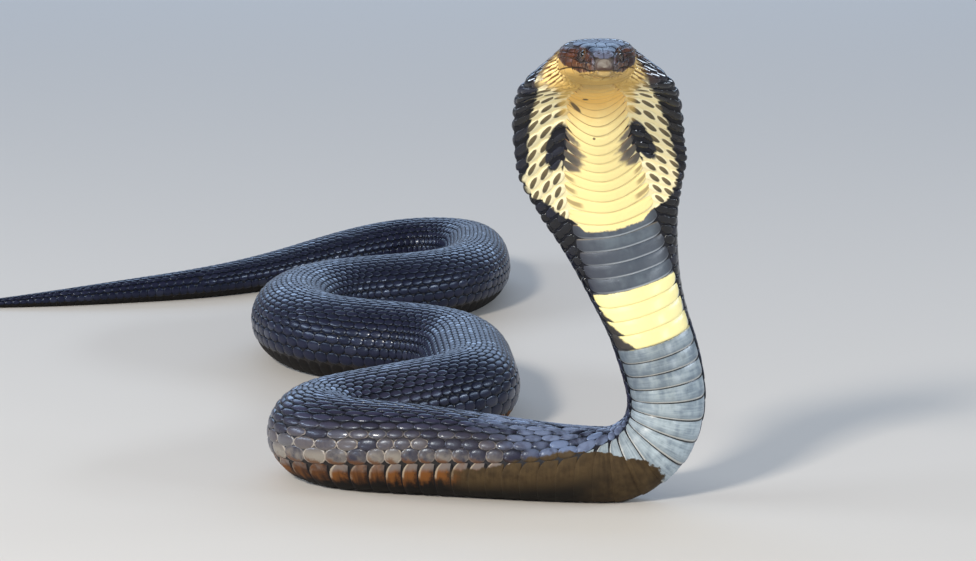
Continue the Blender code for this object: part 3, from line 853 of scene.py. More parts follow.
def back_material():
    made, shader, s = new_material("back_scales", Roughness=0.30, Specular_IOR_Level=0.25,
                                   Coat_Roughness=0.13, Coat_IOR=1.38,
                                   Specular_Tint=(0.66, 0.80, 1.0, 1), Coat_Tint=(0.84, 0.92, 1.0, 1))
    c = Coat(s)
    base = c.dark()
    near_stretch = c.v.step(0.255, 0.290) * (c.v + c.middling * 0.04).step(0.455, 0.405)
    # Painted highlight: the middle of each scale on the upper body is painted a lighter violet, standing in
    # for the sheen on its domed top.
    middle = (c.across.size() + c.along.size() * 0.5 + c.fine * 0.5).step(1.05, 0.30)
    base = base.blend(middle * (c.random * 0.5 + 0.5) * c.facing.step(0.55, 0.10), (0.036, 0.034, 0.066))
    base = base.blend(c.v.step(0.440, 0.470) * 0.65, (0.004, 0.006, 0.020))
    grey = s.colour(0.040, 0.037, 0.050).blend((c.random + c.middling).step(0.1, 0.9), (0.090, 0.080, 0.090))
    browner = c.facing.step(-0.45, -0.05) * (c.random + c.fine).step(0.2, 0.9)
    grey = grey.blend(browner * 0.6, (0.145, 0.120, 0.105))
    base = base.blend(near_stretch * c.facing.step(-0.70, 0.05) * 0.85, grey)
    lowest = c.facing.step(0.02, 0.26) * near_stretch
    base = base.blend(lowest * (c.random + c.middling).step(0.05, 0.80) * 0.85, (0.27, 0.235, 0.190))
    stains = c.across * c.across * 0.8 + c.middling * 0.7 + c.fine * 0.5 + c.along * 0.3
    rust = c.facing.step(0.14, 0.36) * near_stretch * stains.step(0.02, 0.42)
    base = base.blend(rust * 0.9, (0.120, 0.048, 0.016))
    outward = c.along * c.along + c.across * c.across + c.fine * 0.4
    rim = outward.step(0.84, 1.05)
    lit_rim = outward.step(0.62, 0.74) * outward.step(0.94, 0.82)
    lit_rim = lit_rim * (c.along + c.middling).size().step(0.35, 0.75)
    lit_rim = lit_rim * (c.random + c.middling).step(0.1, 0.7)
    base = base.blend(lit_rim * near_stretch * c.facing.step(-0.5, 0.0) * 0.8, (0.40, 0.34, 0.28))
    base = base.blend(rim * 0.85, (0.002, 0.002, 0.003))
    # Painted reflection: a pale milky blue on the scales at the foot of the raised neck stands in for the sky
    # seen in them.
    foot = (c.v + c.middling * 0.03 + c.facing * 0.035).step(0.272, 0.246)
    foot = foot * c.v.step(0.190, 0.225) * (rim * -0.7 + 1.0)
    base = base.blend(foot * (c.middling + c.random * 0.6).step(-0.10, 0.50) * 0.80, (0.19, 0.235, 0.36))
    base = base.blend(c.mud(), c.mud_colour())
    feed(s, shader, Base_Color=base, Roughness=c.fine * 0.15 + c.random * 0.05 + 0.28 + c.mud() * 0.4,
         Coat_Weight=(c.random.step(0.80, 0.90) * 0.6 + 0.12) * (1 - c.mud()))
    bump(s, shader, c.fine, 0.00006)
    return made


def slots_of(thing):
    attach(thing, "root")


back_scales = back_material()
for number, (start, end, count) in enumerate(SIDE_ROWS):
    cuts = np.linspace(start, end, 4 if end - start > 0.3 else 2)
    whole_v, whole_share, whole_wide = lattice(start, end, count)
    for part, (first, last) in enumerate(zip(cuts, cuts[1:])):
        pick = (whole_v >= first) & (whole_v < last)
        v, share, wide = whole_v[pick], whole_share[pick], whole_wide[pick]
        pitch = number_through(ROW_PITCH, v)
        packed = smoothstep((0.55 - v) / 0.08) * smoothstep((0.62 - np.abs(share)) / 0.25)
        half_long, half_wide = (0.545 + 0.035 * packed) * pitch, (0.54 + 0.17 * packed) * wide
        made = domes(v, share, half_long, half_wide, point=BACK_POINT, seed=10 * number + part)
        piece = solid(f"back_scales_{number + 1}{'abc'[part]}", *made, back_scales)
        slots_of(piece)

# The scales of the spread hood. The skin is stretched wide here, so the scales stand apart on it
# in slanting rows: pale with a grey-brown middle in front, glossy black beads along the rim, and
# dark behind with a pale ring. They are the same low domes, drawn out sideways and down.
HOOD_ROWS = ((-0.024, 0.0030, 24), (0.0030, 0.152, 11))
HOOD_SLANT = 0.62
RING_AT = 0.052
RING_SIZE = (0.0135, 0.0175)
HOOD_HALF = 0.036


def hood_material():
    made, shader, s = new_material("hood_scales", Roughness=0.3, Specular_IOR_Level=0.1,
                                   Coat_Roughness=0.06, Coat_IOR=1.5,
                                   Specular_Tint=(0.72, 0.84, 1.0, 1))
    c = Coat(s)
    pale = (c.pale + c.middling * 0.002).step(-0.0008, 0.0008) * (1 - c.spot.step(-0.15, 0.05))
    pale = pale * c.band.step(0.002, -0.002)
    oval = (c.along * c.along * 1.25 + c.across * c.across * 5.2 + c.middling * 0.9).step(1.10, 0.60)
    brown = s.colour(0.105, 0.070, 0.030).blend((c.along + c.fine).step(-0.5, 0.7), (0.034, 0.024, 0.013))
    spotted = s.colour(0.96, 0.86, 0.55).blend(oval * 0.92, brown)
    inner = (c.round + c.middling * 0.004).step(0.0180, 0.0140) * c.v.step(0.045, 0.025)
    spotted = spotted.blend(inner * 0.75, (0.74, 0.48, 0.13))
    spotted = spotted.blend(c.beside_spot(0.0180) * 0.95, (0.012, 0.013, 0.020))
    cheek = (c.v + c.middling * 0.004).step(0.006, -0.001)
    rims = (c.across.size() + c.fine * 0.5 + c.middling * 0.4).step(0.18, 0.55)
    streaked = s.colour(0.92, 0.66, 0.26).blend(rims, (0.15, 0.065, 0.015))
    by_edge = (c.pale + c.middling * 0.006 + c.random * 0.002).step(0.0055, 0.0020)
    streaked = streaked.blend(by_edge * 0.85, (0.060, 0.030, 0.010))
    corners = (c.across.size() + c.along.size()).step(0.75, 1.15)
    throat = s.colour(0.55, 0.35, 0.10).blend(corners * 0.30, (0.26, 0.14, 0.04))
    streaked = streaked.blend((c.facing + c.middling * 0.2).step(0.42, 0.70), throat)
    spotted = spotted.blend(cheek, streaked)
    behind = c.facing.step(-0.2, -0.5)
    ring_v = (c.v - RING_AT) / RING_SIZE[0]
    to_spine = (1 - c.facing * c.facing) ** 0.5 * HOOD_HALF / RING_SIZE[1]
    away = (ring_v * ring_v + to_spine * to_spine) ** 0.5
    ring = (away - 1.0).size().step(0.26, 0.12) * behind
    dark = c.dark().blend(ring, (0.55, 0.46, 0.28))
    beside_head = c.v.step(0.008, -0.002) * c.facing.step(-0.75, -0.2)
    dark = dark.blend(beside_head * (c.middling + c.random).step(0.0, 0.8) * 0.9, (0.075, 0.032, 0.012))
    feed(s, shader, Base_Color=dark.blend(pale, spotted), Roughness=c.random * 0.1 + 0.24 + pale * 0.12,
         Coat_Weight=0.95 - pale * 0.75)
    bump(s, shader, c.fine + c.middling * 1.5, 0.00035)
    return made


def hood_start(phi):
    """The first v with body scales at each turn: they begin behind the head's own shields."""
    turn = np.degrees(np.abs(phi))
    return np.interp(turn, (0, 50, 66, 96, 112, 180), (-0.012, -0.012, -0.0085, -0.0075, -0.0105, -0.0112))


lattices = (lattice(*rows) for rows in HOOD_ROWS)
whole_v, whole_share, whole_wide = (np.concatenate(parts) for parts in zip(*lattices))
kept = whole_v > hood_start(girth.turn(whole_v, whole_share))
whole_v, whole_share, whole_wide = whole_v[kept], whole_share[kept], whole_wide[kept]
whole_phi = girth.turn(whole_v, whole_share)
spread_there = smoothstep(hood(np.maximum(whole_v, 0)) / 0.6) * smoothstep(whole_v / 0.012)
in_front = smoothstep((np.cos(whole_phi) - 0.05) / 0.25)
on_rim = hood(np.maximum(whole_v, 0)) ** 2 * np.exp(-((np.cos(whole_phi) / 0.55) ** 2))
in_spot = smoothstep((markings(whole_v, whole_phi)[:, 1] + 0.1) / 0.2)
beaded = np.maximum(on_rim, in_spot)
hood_made = domes(
    whole_v,
    whole_share,
    (0.56 - 0.03 * spread_there - 0.12 * beaded) * number_through(ROW_PITCH, whole_v),
    (0.90 - 0.24 * spread_there - 0.20 * beaded) * whole_wide,
    slant=(HOOD_SLANT * spread_there * in_front)[:, None],
    height=1 + 0.9 * beaded,
    bead=beaded,
    seed=91,
)
hood_scales = solid("hood_scales", *hood_made, hood_material())
slots_of(hood_scales)

# The belly plates. One broad thin plate crosses the belly from side to side for each pair of ribs,
# its hind edge lying free over the next. On the throat they are short, bowed forward at the ends
# and orange to cream; a dark and a pale band cross them below; behind they are pearly blue-grey.
PLATE_PITCH = (  # v, the length of one plate along the belly
    (-0.012, 0.0048), (0.000, 0.0058), (0.030, 0.0057), (0.050, 0.0052), (0.072, 0.0057),
    (0.100, 0.0067), (0.200, 0.0073), (0.250, 0.0075), (0.400, 0.0073), (0.470, 0.0061),
    (0.850, 0.0058), (1.050, 0.0050), (1.300, 0.0040),
)
PLATE_BOW = (  # v, how far the plate's ends are drawn forward
    (-0.012, 0.0010), (0.000, 0.0040), (0.010, 0.0085), (0.030, 0.0100), (0.045, 0.0088),
    (0.060, 0.0065), (0.076, 0.0050), (0.090, 0.0015), (0.100, 0.0005), (1.300, 0.0005),
)
THROAT_FLECKS = (  # v, place across, half its length and width, slant
    (0.0228, -0.0093, (0.0046, 0.0012), 0.47),
    (0.0137, -0.0047, (0.0009, 0.0013), 0.0),
    (0.0430, -0.0019, (0.0006, 0.0006), 0.0),
)
PLATE_START = -0.010
BELLY_START = 0.170
PLATE_END = 1.288
PLATE_OVERLAP = 0.9 * MM
PLATE_ALONG = np.array((0.0, 0.10, 0.45, 0.84, 0.95, 1.0))
PLATE_LIFT = np.array((-0.75, -0.30, -0.06, 0.11, 0.10, -0.20)) * MM
PLATE_COLUMNS = 26
PLATE_TAPER = 0.45
PLATE_FULL_AT = 0.005  # the pitch at which a plate has its full height
PLATE_SUNK = 0.75 * MM
PLATE_BASE = -1.25 * MM
MUDDY = (0.212, 0.305)
MUDDY_FLAT = 0.7
MUDDY_OVER = 0.02


def above_and_below(values):
    """The same values for the upper and the lower side of each plate, in the points' order."""
    each = values.reshape(len(values), 1, -1, values.shape[-1])
    return np.repeat(each, 2, axis=1).reshape(-1, values.shape[-1])


def plates(start, end):
    """Points, faces, fields and unwrap of the closed belly plates between two stations."""
    edges = [PLATE_START]
    while edges[-1] < PLATE_END:
        edges.append(edges[-1] + float(number_through(PLATE_PITCH, edges[-1])))
    edges = np.array([e for e in edges if start <= e < end])[:, None, None]
    count = len(edges)
    long = number_through(PLATE_PITCH, edges)
    along = PLATE_ALONG[None, :, None]
    across = np.sin(np.linspace(-np.pi / 2, np.pi / 2, PLATE_COLUMNS))[None, None, :]
    reach = number_through(VENTRAL_HALF, edges) * across
    taper = 1 - PLATE_TAPER * np.abs(across) ** 10
    run = along * (long + PLATE_OVERLAP) * taper
    v = edges + run - number_through(PLATE_BOW, edges) * across**2
    phi = girth.turn(v, reach / girth.half(v))
    size = np.clip(long / PLATE_FULL_AT, 0.4, 1.1)
    sunk = np.abs(across) ** 14
    muddy = smoothstep((edges - MUDDY[0]) / MUDDY_OVER) * smoothstep((MUDDY[1] - edges) / MUDDY_OVER)
    lift = PLATE_LIFT[None, :, None] * size * (1 - MUDDY_FLAT * muddy) * (1 - sunk) - PLATE_SUNK * sunk
    per = PLATE_ALONG.size * PLATE_COLUMNS
    sides = [coat(v, phi, side).reshape(count, per, 3) for side in (lift, PLATE_BASE)]
    points = np.stack(sides, axis=1).reshape(-1, 3)
    grid = np.arange(per).reshape(-1, PLATE_COLUMNS)
    top = np.stack([grid[:-1, :-1], grid[1:, :-1], grid[1:, 1:], grid[:-1, 1:]], axis=-1).reshape(-1, 4)
    loop = np.concatenate([grid[0], grid[1:, -1], grid[-1, -2::-1], grid[-2:0:-1, 0]])
    after = np.roll(loop, -1)
    wall = np.stack([loop, after, after + per, loop + per], axis=1)
    one = np.concatenate([top, top[:, ::-1] + per, wall])
    faces = (one[None] + 2 * per * np.arange(count)[:, None, None]).reshape(-1, 4)
    random = np.random.default_rng(7).random(count)[:, None, None]
    detail = np.stack([np.broadcast_to(a, v.shape) for a in (along, across, random)], axis=-1)
    fields = {"place": places(v, phi), "marks": markings(v, phi), "detail": detail}
    fields = {name: above_and_below(values) for name, values in fields.items()}
    strip = np.floor((edges + UNWRAP_START) / STRIP)
    flat_at = (edges + UNWRAP_START + run * 0.9) / STRIP
    turn = np.broadcast_to((phi / (2 * np.pi)) % 1, v.shape)
    uv = np.stack([np.clip(flat_at - strip, 0, 1), (strip + turn) / 3], axis=-1)
    middle = coat(edges, 0.0, -8 * MM).reshape(-1, 3)
    outward = outward_faces(points, [top], lambda corners: middle[corners[:, 0] // (2 * per)])
    if not np.array_equal(outward[0], top):
        faces = faces[:, ::-1]
    return points, [faces], fields, above_and_below(uv)[faces.ravel()]


def plate_colours(c):
    """The colours across the belly plates from the throat to the tail."""
    s = c.shade
    down = s.noise(s.joined(c.reach * 420.0, c.v * 90.0, c.random * 9.0), 1.0)
    slate = s.colour(0.060, 0.075, 0.100)
    lighter = (c.middling + down * 0.5 + c.random * 0.4).step(0.0, 0.6)
    slate = slate.blend(lighter * 0.8, (0.118, 0.150, 0.180))
    slate = slate.blend(c.along.step(0.66, 0.84) * 0.35, (0.055, 0.070, 0.095))
    slate = slate.blend(c.along.step(0.85, 0.93) * 0.75, (0.46, 0.50, 0.54))
    slate = slate.blend((c.across.size() + c.middling * 0.2).step(0.70, 0.95) * 0.75, (0.022, 0.025, 0.036))
    # Painted shade: the slate band is darker towards the animal's right side.
    slate = slate.blend((c.reach + c.broad * 0.012).step(0.000, -0.016) * 0.55, (0.030, 0.032, 0.048))
    yellow = s.colour(0.97, 0.84, 0.38)
    streak = s.noise(s.joined(c.reach * 90.0, c.v * 1500.0, c.random * 9.0), 1.0)
    patchy = c.middling * 1.2 + streak * 0.7 + down * 0.9 + c.broad * 0.9
    pearl = s.colour(0.135, 0.175, 0.215).blend((patchy + 0.5).step(0.10, 0.95), (0.32, 0.375, 0.40))
    lower = (c.v + c.broad * 0.02).step(0.160, 0.205)
    pearl = pearl.blend(lower * (streak + c.middling + 0.6).step(0.0, 1.0) * 0.75, (0.50, 0.58, 0.62))
    blotch = (c.middling * 1.4 + c.broad + down * 1.1).step(0.12, 0.70)
    pearl = pearl.blend(blotch * 0.60, (0.085, 0.105, 0.125))
    # Painted shade: the grey belly plates are darker towards the animal's right side.
    pearl = pearl.blend(c.reach.step(-0.004, -0.020) * (0.6 - lower * 0.3), (0.060, 0.075, 0.100))
    pearl = pearl.blend(c.along.step(0.60, 0.88) * 0.40, (0.095, 0.12, 0.145))
    pearl = pearl.blend(c.along.step(0.905, 0.945) * 0.62, (0.60, 0.58, 0.52))
    lying = (c.v + c.middling * 0.01).step(0.245, 0.268)
    # Painted shade: where the body lies on the floor, its belly plates are painted near-black beneath their
    # rusty ends.
    under = s.colour(0.0030, 0.0022, 0.0018)
    under = under.blend((streak + c.middling + 0.3).step(0.0, 0.8) * 0.5, (0.010, 0.006, 0.004))
    flames = s.noise(s.joined(c.v * 420.0, c.round * 50.0, 0.0), 1.0) * 0.45
    ends = (c.across.size() + flames + c.middling * 0.3).step(0.46, 0.74) * c.v.step(0.55, 0.43)
    along_plate = (c.along + c.fine * 0.5 + c.middling * 0.5).step(0.12, 0.50)
    redder = along_plate * (flames * 2.5 + c.random * 0.5 + 0.35).step(0.0, 0.8)
    rust = s.colour(0.040, 0.016, 0.008).blend(redder, (0.190, 0.068, 0.014))
    under = under.blend(ends * 0.92, rust)
    cap = (c.across.size() + flames * 0.3).step(0.78, 0.90)
    cap = cap * (c.middling + c.random * 0.5).step(-0.2, 0.4) * c.v.step(0.42, 0.38)
    under = under.blend(ends * cap * 0.85, (0.165, 0.145, 0.135))
    cap_rim = c.along.step(0.84, 0.93) * (c.across.size() + c.middling * 0.2).step(0.62, 0.74)
    under = under.blend(ends * cap_rim * (c.random + c.middling).step(-0.1, 0.6) * 0.65, (0.40, 0.33, 0.24))
    pearl = pearl.blend(lying, under)
    jag = c.fine * 0.0016 + c.middling * 0.0024
    past_pale = s.maths("MAXIMUM", c.band, -c.pale)
    made = c.cream().blend((past_pale + jag).step(-0.0006, 0.0006), slate)
    made = made.blend((c.v + jag * 0.5).step(0.1251, 0.1259), yellow)
    side = s.noise(s.joined(c.v * 260.0, 0.0, 0.0), 1.0) * 0.006
    side = side + c.middling * 0.004 + (c.along - 0.5) * 0.0045
    left_corner = (side - c.reach + (c.v - 0.1265) * 0.42).step(0.0215, 0.0235) * c.v.step(0.1285, 0.1310)
    made = made.blend(left_corner, (0.045, 0.040, 0.036))
    made = made.blend((side + c.reach).step(0.0200, 0.0225) * c.v.step(0.1270, 0.1300), (0.42, 0.42, 0.38))
    made = made.blend((c.v + jag * 0.5).step(0.1532, 0.1540), pearl)
    inward = c.shadow()
    fingers = inward.step(0.0045, 0.0078) * c.spot_side()
    shadow = s.colour(0.145, 0.115, 0.095).blend(inward.step(0.0070, 0.0110), (0.032, 0.033, 0.046))
    made = made.blend(fingers * 0.94, shadow)
    dashes = (c.along - 0.6).size().step(0.26, 0.10) * (c.across.size() + c.random * 0.25).step(0.80, 0.95)
    made = made.blend(dashes * c.v.step(0.060, 0.066) * c.v.step(0.0860, 0.0830) * 0.7, (0.22, 0.13, 0.05))
    return made.blend((c.spot + c.fine * 0.5).step(-0.12, 0.12), (0.006, 0.008, 0.016))


def plate_material(name, **constants):
    made, shader, s = new_material(name, **constants)
    c = Coat(s)
    colour = plate_colours(c)
    throat = c.v.step(0.060, 0.030)
    seam = (c.along.step(0.20, 0.10) + c.along.step(0.86, 0.98) * throat) * (0.25 + throat * 0.7)
    seam = seam * c.v.step(0.110, 0.090)
    colour = colour.blend(seam, s.colour(0.34, 0.15, 0.03).blend(c.v.step(0.05, 0.08), (0.55, 0.36, 0.10)))
    # Painted shadow: from the grey belly on, a near-black line at the front of each plate, under the free
    # hind edge of the plate before it.
    colour = colour.blend(c.along.step(0.19, 0.15) * c.v.step(0.150, 0.156), (0.006, 0.006, 0.008))
    colour = colour.blend(c.mud(), c.mud_colour())
    flecks = (c.fine + c.middling).step(0.30, 0.42) * throat
    colour = colour.blend(flecks * 0.5, (0.20, 0.10, 0.03))
    for at_v, at_reach, size, slant in THROAT_FLECKS:
        colour = colour.blend(c.fleck(at_v, at_reach, size, slant) * 0.9, (0.055, 0.032, 0.015))
    matt = s.maths("MAXIMUM", c.v.step(0.262, 0.285), c.mud())
    feed(s, shader, Base_Color=colour, Roughness=c.middling * 0.2 + 0.34 + matt * 0.45,
         Coat_Weight=0.2 - matt * 0.2)
    bump(s, shader, c.fine * 0.5 + c.middling, 0.00012)
    return made


for name, start, end, finish in (
    ("throat_plates", PLATE_START, BELLY_START, {"Coat_Roughness": 0.3}),
    ("belly_plates", BELLY_START, PLATE_END, {"Specular_IOR_Level": 0.25, "Coat_Roughness": 0.25}),
):
    slots_of(solid(name, *plates(start, end), plate_material(name, **finish)))

# The head's shields: large smooth horny plates that meet edge to edge, nine on the crown, small
# ones round the eye and nostril, eight along each lip and paired ones under the chin. Each is a
# closed low plate, outlined in millimetres from the nape and across, or up from the middle line.
CROWN_SHIELDS = {
    "frontal": [
        (34.4, -2.1), (34.4, 2.1), (31.0, 2.1), (27.5, 2.0), (25.6, 1.4), (24.4, 0.0),
        (25.6, -1.4), (27.5, -2.0), (31.0, -2.1),
    ],
    "prefrontal": [(40.0, 0.0), (40.2, 2.9), (38.8, 4.9), (35.5, 6.0), (34.2, 4.3), (34.4, 2.1), (34.4, 0.0)],
    "internasal": [(45.2, 0.0), (45.0, 2.0), (43.4, 4.0), (40.9, 4.6), (40.2, 2.9), (40.0, 0.0)],
    "supraocular": [
        (34.4, 2.1), (34.2, 4.3), (35.4, 6.1), (33.2, 7.1), (30.0, 8.3), (26.4, 8.9), (25.4, 6.6),
        (26.4, 3.9), (27.5, 2.0), (31.0, 2.1),
    ],
    "parietal": [
        (24.4, 0.0), (25.6, 1.4), (27.5, 2.0), (26.4, 3.9), (25.4, 6.6), (24.8, 9.2), (20.5, 11.1),
        (15.5, 10.8), (12.4, 6.0), (11.4, 0.0),
    ],
}
SIDE_SHIELDS = {
    "front_nasal": [(45.25, 0.7), (45.0, 2.4), (43.0, 4.3), (42.0, 3.0), (42.0, 1.2)],
    "hind_nasal": [(42.0, 1.2), (42.0, 3.0), (43.0, 4.3), (39.9, 4.9), (39.0, 3.6), (39.2, 1.7)],
    "preocular": [
        (39.2, 1.7), (39.0, 3.6), (39.9, 4.9), (36.0, 5.6), (34.9, 5.2), (34.6, 3.6), (34.5, 2.1),
        (37.2, 1.8),
    ],
    "postocular_top": [(28.6, 6.3), (28.2, 4.7), (25.6, 4.9), (25.2, 6.8)],
    "postocular_middle": [(28.2, 4.7), (28.3, 3.1), (25.6, 3.3), (25.6, 4.9)],
    "postocular_low": [(28.3, 3.1), (29.3, 1.6), (27.0, 2.1), (24.9, 2.7), (25.6, 3.3)],
    "temporal_top": [(25.2, 6.8), (25.6, 4.9), (20.4, 5.0), (19.6, 7.0)],
    "temporal_low": [(25.6, 4.9), (25.6, 3.3), (24.9, 2.7), (19.2, 3.1), (20.4, 5.0)],
    "second_temporal_top": [(19.6, 7.0), (20.4, 5.0), (14.5, 5.0), (13.6, 7.1)],
    "second_temporal_low": [(20.4, 5.0), (19.2, 3.1), (13.2, 2.5), (14.5, 5.0)],
    "third_temporal_top": [(13.6, 7.1), (14.5, 5.0), (10.4, 4.6), (9.8, 7.0)],
    "third_temporal_low": [(14.5, 5.0), (13.2, 2.5), (9.6, 1.8), (10.4, 4.6)],
}
UPPER_LIP_SEAMS = (
    (45.3, 0.7), (40.8, 1.5), (37.2, 1.8), (33.6, 1.3), (29.6, 1.5), (24.8, 2.7), (19.0, 3.1),
    (12.6, 2.4), (9.2, 1.6),
)
LOWER_LIP_SEAMS = (44.9, 41.0, 37.8, 34.4, 30.0, 25.0, 18.6, 12.0, 8.8)
LOWER_LIP_SHARE = 0.60
CHIN_SHIELDS = {
    "front_chin": [(43.0, 0.0), (43.2, 2.0), (41.0, 4.3), (38.0, 4.8), (34.6, 3.8), (34.0, 0.0)],
    "hind_chin": [(34.0, 0.0), (34.6, 3.8), (31.0, 4.9), (26.6, 3.6), (25.6, 0.0)],
    "outer_chin": [(38.0, 4.8), (34.6, 3.8), (31.0, 4.9), (26.6, 3.6), (26.2, 7.1), (30.0, 7.4), (34.6, 6.2)],
}
FRONT_SHIELDS = {
    "rostral": [
        (-3.1, -1.42), (3.1, -1.42), (3.5, 0.6), (3.2, 2.2), (1.8, 3.3), (0.0, 3.5), (-1.8, 3.3),
        (-3.2, 2.2), (-3.5, 0.6),
    ],
    "mental": [(-3.2, -1.70), (3.2, -1.70), (2.4, -3.0), (0.0, -3.9), (-2.4, -3.0)],
}
NOSTRIL_AT = (41.9, 2.0)
NOSTRIL_SIZE = 0.75
NOSTRIL_DEPTH = 0.8
NOSTRIL_RIM_AT = 1.3
SHIELD_GAP = 0.07
SHIELD_TOP = 0.08
SHIELD_RIM = -0.14
CROWN_RIM = -0.12
SHIELD_EDGE = 0.20
SHIELD_BASE = -0.9
SHIELD_STEP = 0.42
GRID_STEP = SHIELD_STEP * 1.3
GRID_MARGIN = 0.55
RIM_LOOPS = (0.14, 0.32)
LIP_GAP = 0.12
LOWER_LIP_BULGE = 0.15
UNDER_EYE = 3  # the lip shield, counted from the snout, that dips under the eye
UNDER_EYE_DIP = 0.55


def turn_across(p, q, squareness):
    """The turn round the head, out of its middle plane, of the place q across at p from the nape."""
    return np.arcsin(np.clip(np.abs(q) * MM / head_form(p * MM)[0], 0, 1) ** (1 / squareness))


def from_crown(p, q):
    return -p * MM, np.where(q < 0, -1, 1) * (np.pi - turn_across(p, q, CROWN_SQUARENESS))


def from_chin(p, q):
    return -p * MM, np.where(q < 0, -1, 1) * turn_across(p, q, CHIN_SQUARENESS)


def from_side(p, q):
    _, top, bottom = head_form(p * MM)
    up = np.arccos(np.clip(q * MM / top, 0, 1) ** (1 / CROWN_SQUARENESS))
    down = np.pi - np.arccos(np.clip(-q * MM / bottom, 0, 1) ** (1 / CHIN_SQUARENESS))
    return -p * MM, np.pi - np.where(q > 0, up, down)


def from_front(p, q):
    """The place on the snout's blunt end at p across and q up, found by halving."""
    low, high = np.full(p.shape, 0.036), np.full(p.shape, HEAD_LENGTH + TIP_CAP * 0.98)
    square = np.where(q > 0, CROWN_SQUARENESS, CHIN_SQUARENESS)
    for _ in range(24):
        middle = (low + high) / 2
        width, top, bottom = head_form(np.minimum(middle, HEAD_LENGTH))
        shrink = 1 - np.clip((middle - HEAD_LENGTH) / TIP_CAP, 0, 1)
        sine = (np.abs(p) * MM / (width * shrink)) ** (1 / square)
        cosine = (np.abs(q) * MM / (np.where(q > 0, top, bottom) * shrink)) ** (1 / square)
        outside = sine**2 + cosine**2 > 1
        high = np.where(outside, middle, high)
        low = np.where(outside, low, middle)
    psi = np.arctan2(sine, np.where(q > 0, cosine, -cosine))
    return -middle, np.where(p < 0, -1, 1) * (np.pi - psi)


def rounded(outline):
    """The outline as evenly spaced points with its corners softened, turning left."""
    outline = np.array(outline, float)
    following = np.roll(outline, -1, axis=0)
    area = (outline[:, 0] * following[:, 1] - following[:, 0] * outline[:, 1]).sum()
    if area < 0:
        outline = outline[::-1]
        following = np.roll(outline, -1, axis=0)
    points = []
    for a, b in zip(outline, following):
        count = max(1, int(np.ceil(np.hypot(*(b - a)) / SHIELD_STEP)))
        points += [a + (b - a) * t for t in np.arange(count) / count]
    points = np.array(points)
    for _ in range(2):
        points = (np.roll(points, 1, axis=0) + 2 * points + np.roll(points, -1, axis=0)) / 4
    return points


def inset(points, distance):
    ahead = unit(np.roll(points, -1, axis=0) - np.roll(points, 1, axis=0))
    return points + distance * np.stack([-ahead[:, 1], ahead[:, 0]], axis=1)


def edge_distance(at, outline):
    """How far each point is from the outline."""
    a, b = outline, np.roll(outline, -1, axis=0)
    along = b - a
    t = ((at[:, None] - a) * along).sum(2) / (along**2).sum(1)
    foot = a + np.clip(t, 0, 1)[..., None] * along
    return np.linalg.norm(at[:, None] - foot, axis=2).min(1)


def shield_flat(outline):
    """Points, triangles, edge distances and the places of the rim points of one shield, laid flat."""
    rim = inset(rounded(outline), SHIELD_GAP)
    low, high = rim.min(0), rim.max(0)
    p, q = np.meshgrid(*(np.arange(low[k], high[k], GRID_STEP) for k in (0, 1)))
    grid = np.column_stack([p.ravel(), q.ravel()])
    grid = grid[edge_distance(grid, rim) > GRID_MARGIN]
    points = np.vstack([rim, *(inset(rim, distance) for distance in RIM_LOOPS), grid])
    loop = [(i, (i + 1) % len(rim)) for i in range(len(rim))]
    made = delaunay_2d_cdt([Vector(v) for v in points], loop, [], 1, 1e-4)
    flat, triangles = np.array([tuple(v) for v in made[0]]), np.array(made[2])
    new_at = {old: new for new, olds in enumerate(made[3]) for old in olds}
    return flat, triangles, edge_distance(flat, rim), np.array([new_at[i] for i in range(len(rim))])


def lip_outline(a, b, heights, gap):
    """One lip shield between two seams: its edge at three heights, and a gap off the mouth's line."""
    middle = (a + b) / 2
    mouth = [float(number_through(MOUTH, p * MM)) / MM + gap for p in (a, middle, b)]
    return [(a, mouth[0]), (a, heights[0]), (middle, heights[1]), (b, heights[2]),
            (b, mouth[2]), (middle, mouth[1])]


def lip_shields():
    """(name, outline, how it is laid) of each shield along one side's lips."""
    listed = []
    for number, ((a, top), (b, second)) in enumerate(zip(UPPER_LIP_SEAMS, UPPER_LIP_SEAMS[1:])):
        dip = UNDER_EYE_DIP if number == UNDER_EYE else 0.0
        shape = lip_outline(a, b, (top, (top + second) / 2 - dip, second), LIP_GAP)
        listed.append((f"upper_lip_{number + 1}", shape, from_side))
    for number, (a, b) in enumerate(zip(LOWER_LIP_SEAMS, LOWER_LIP_SEAMS[1:])):
        depths = (float(head_form(p * MM)[2]) / MM for p in (a, (a + b) / 2, b))
        first, middle, second = (-LOWER_LIP_SHARE * depth for depth in depths)
        shape = lip_outline(a, b, (first, middle - LOWER_LIP_BULGE, second), -LIP_GAP)
        listed.append((f"lower_lip_{number + 1}", shape, from_side))
    return listed


def shield_list():
    """Every shield as (name, outline, how it is laid on the head, side)."""
    listed = [(name, shape, from_front, 0) for name, shape in FRONT_SHIELDS.items()]
    listed.append(("frontal", CROWN_SHIELDS["frontal"], from_crown, 0))
    mirrored = [(name, shape, from_crown) for name, shape in CROWN_SHIELDS.items() if name != "frontal"]
    mirrored += [(name, shape, from_side) for name, shape in SIDE_SHIELDS.items()]
    mirrored += [(name, shape, from_chin) for name, shape in CHIN_SHIELDS.items()]
    mirrored += lip_shields()
    for name, shape, lay in mirrored:
        listed += [(name, shape, lay, 1), (name, shape, lay, -1)]
    return listed


def kind_of(name):
    """The number of the kind of shield, for its colours: 0 for all that isn't named below."""
    for kind, words in enumerate(("upper_lip", "lower_lip", "rostral", "mental", "chin")):
        if words in name:
            return kind + 1.0
    return 0.0


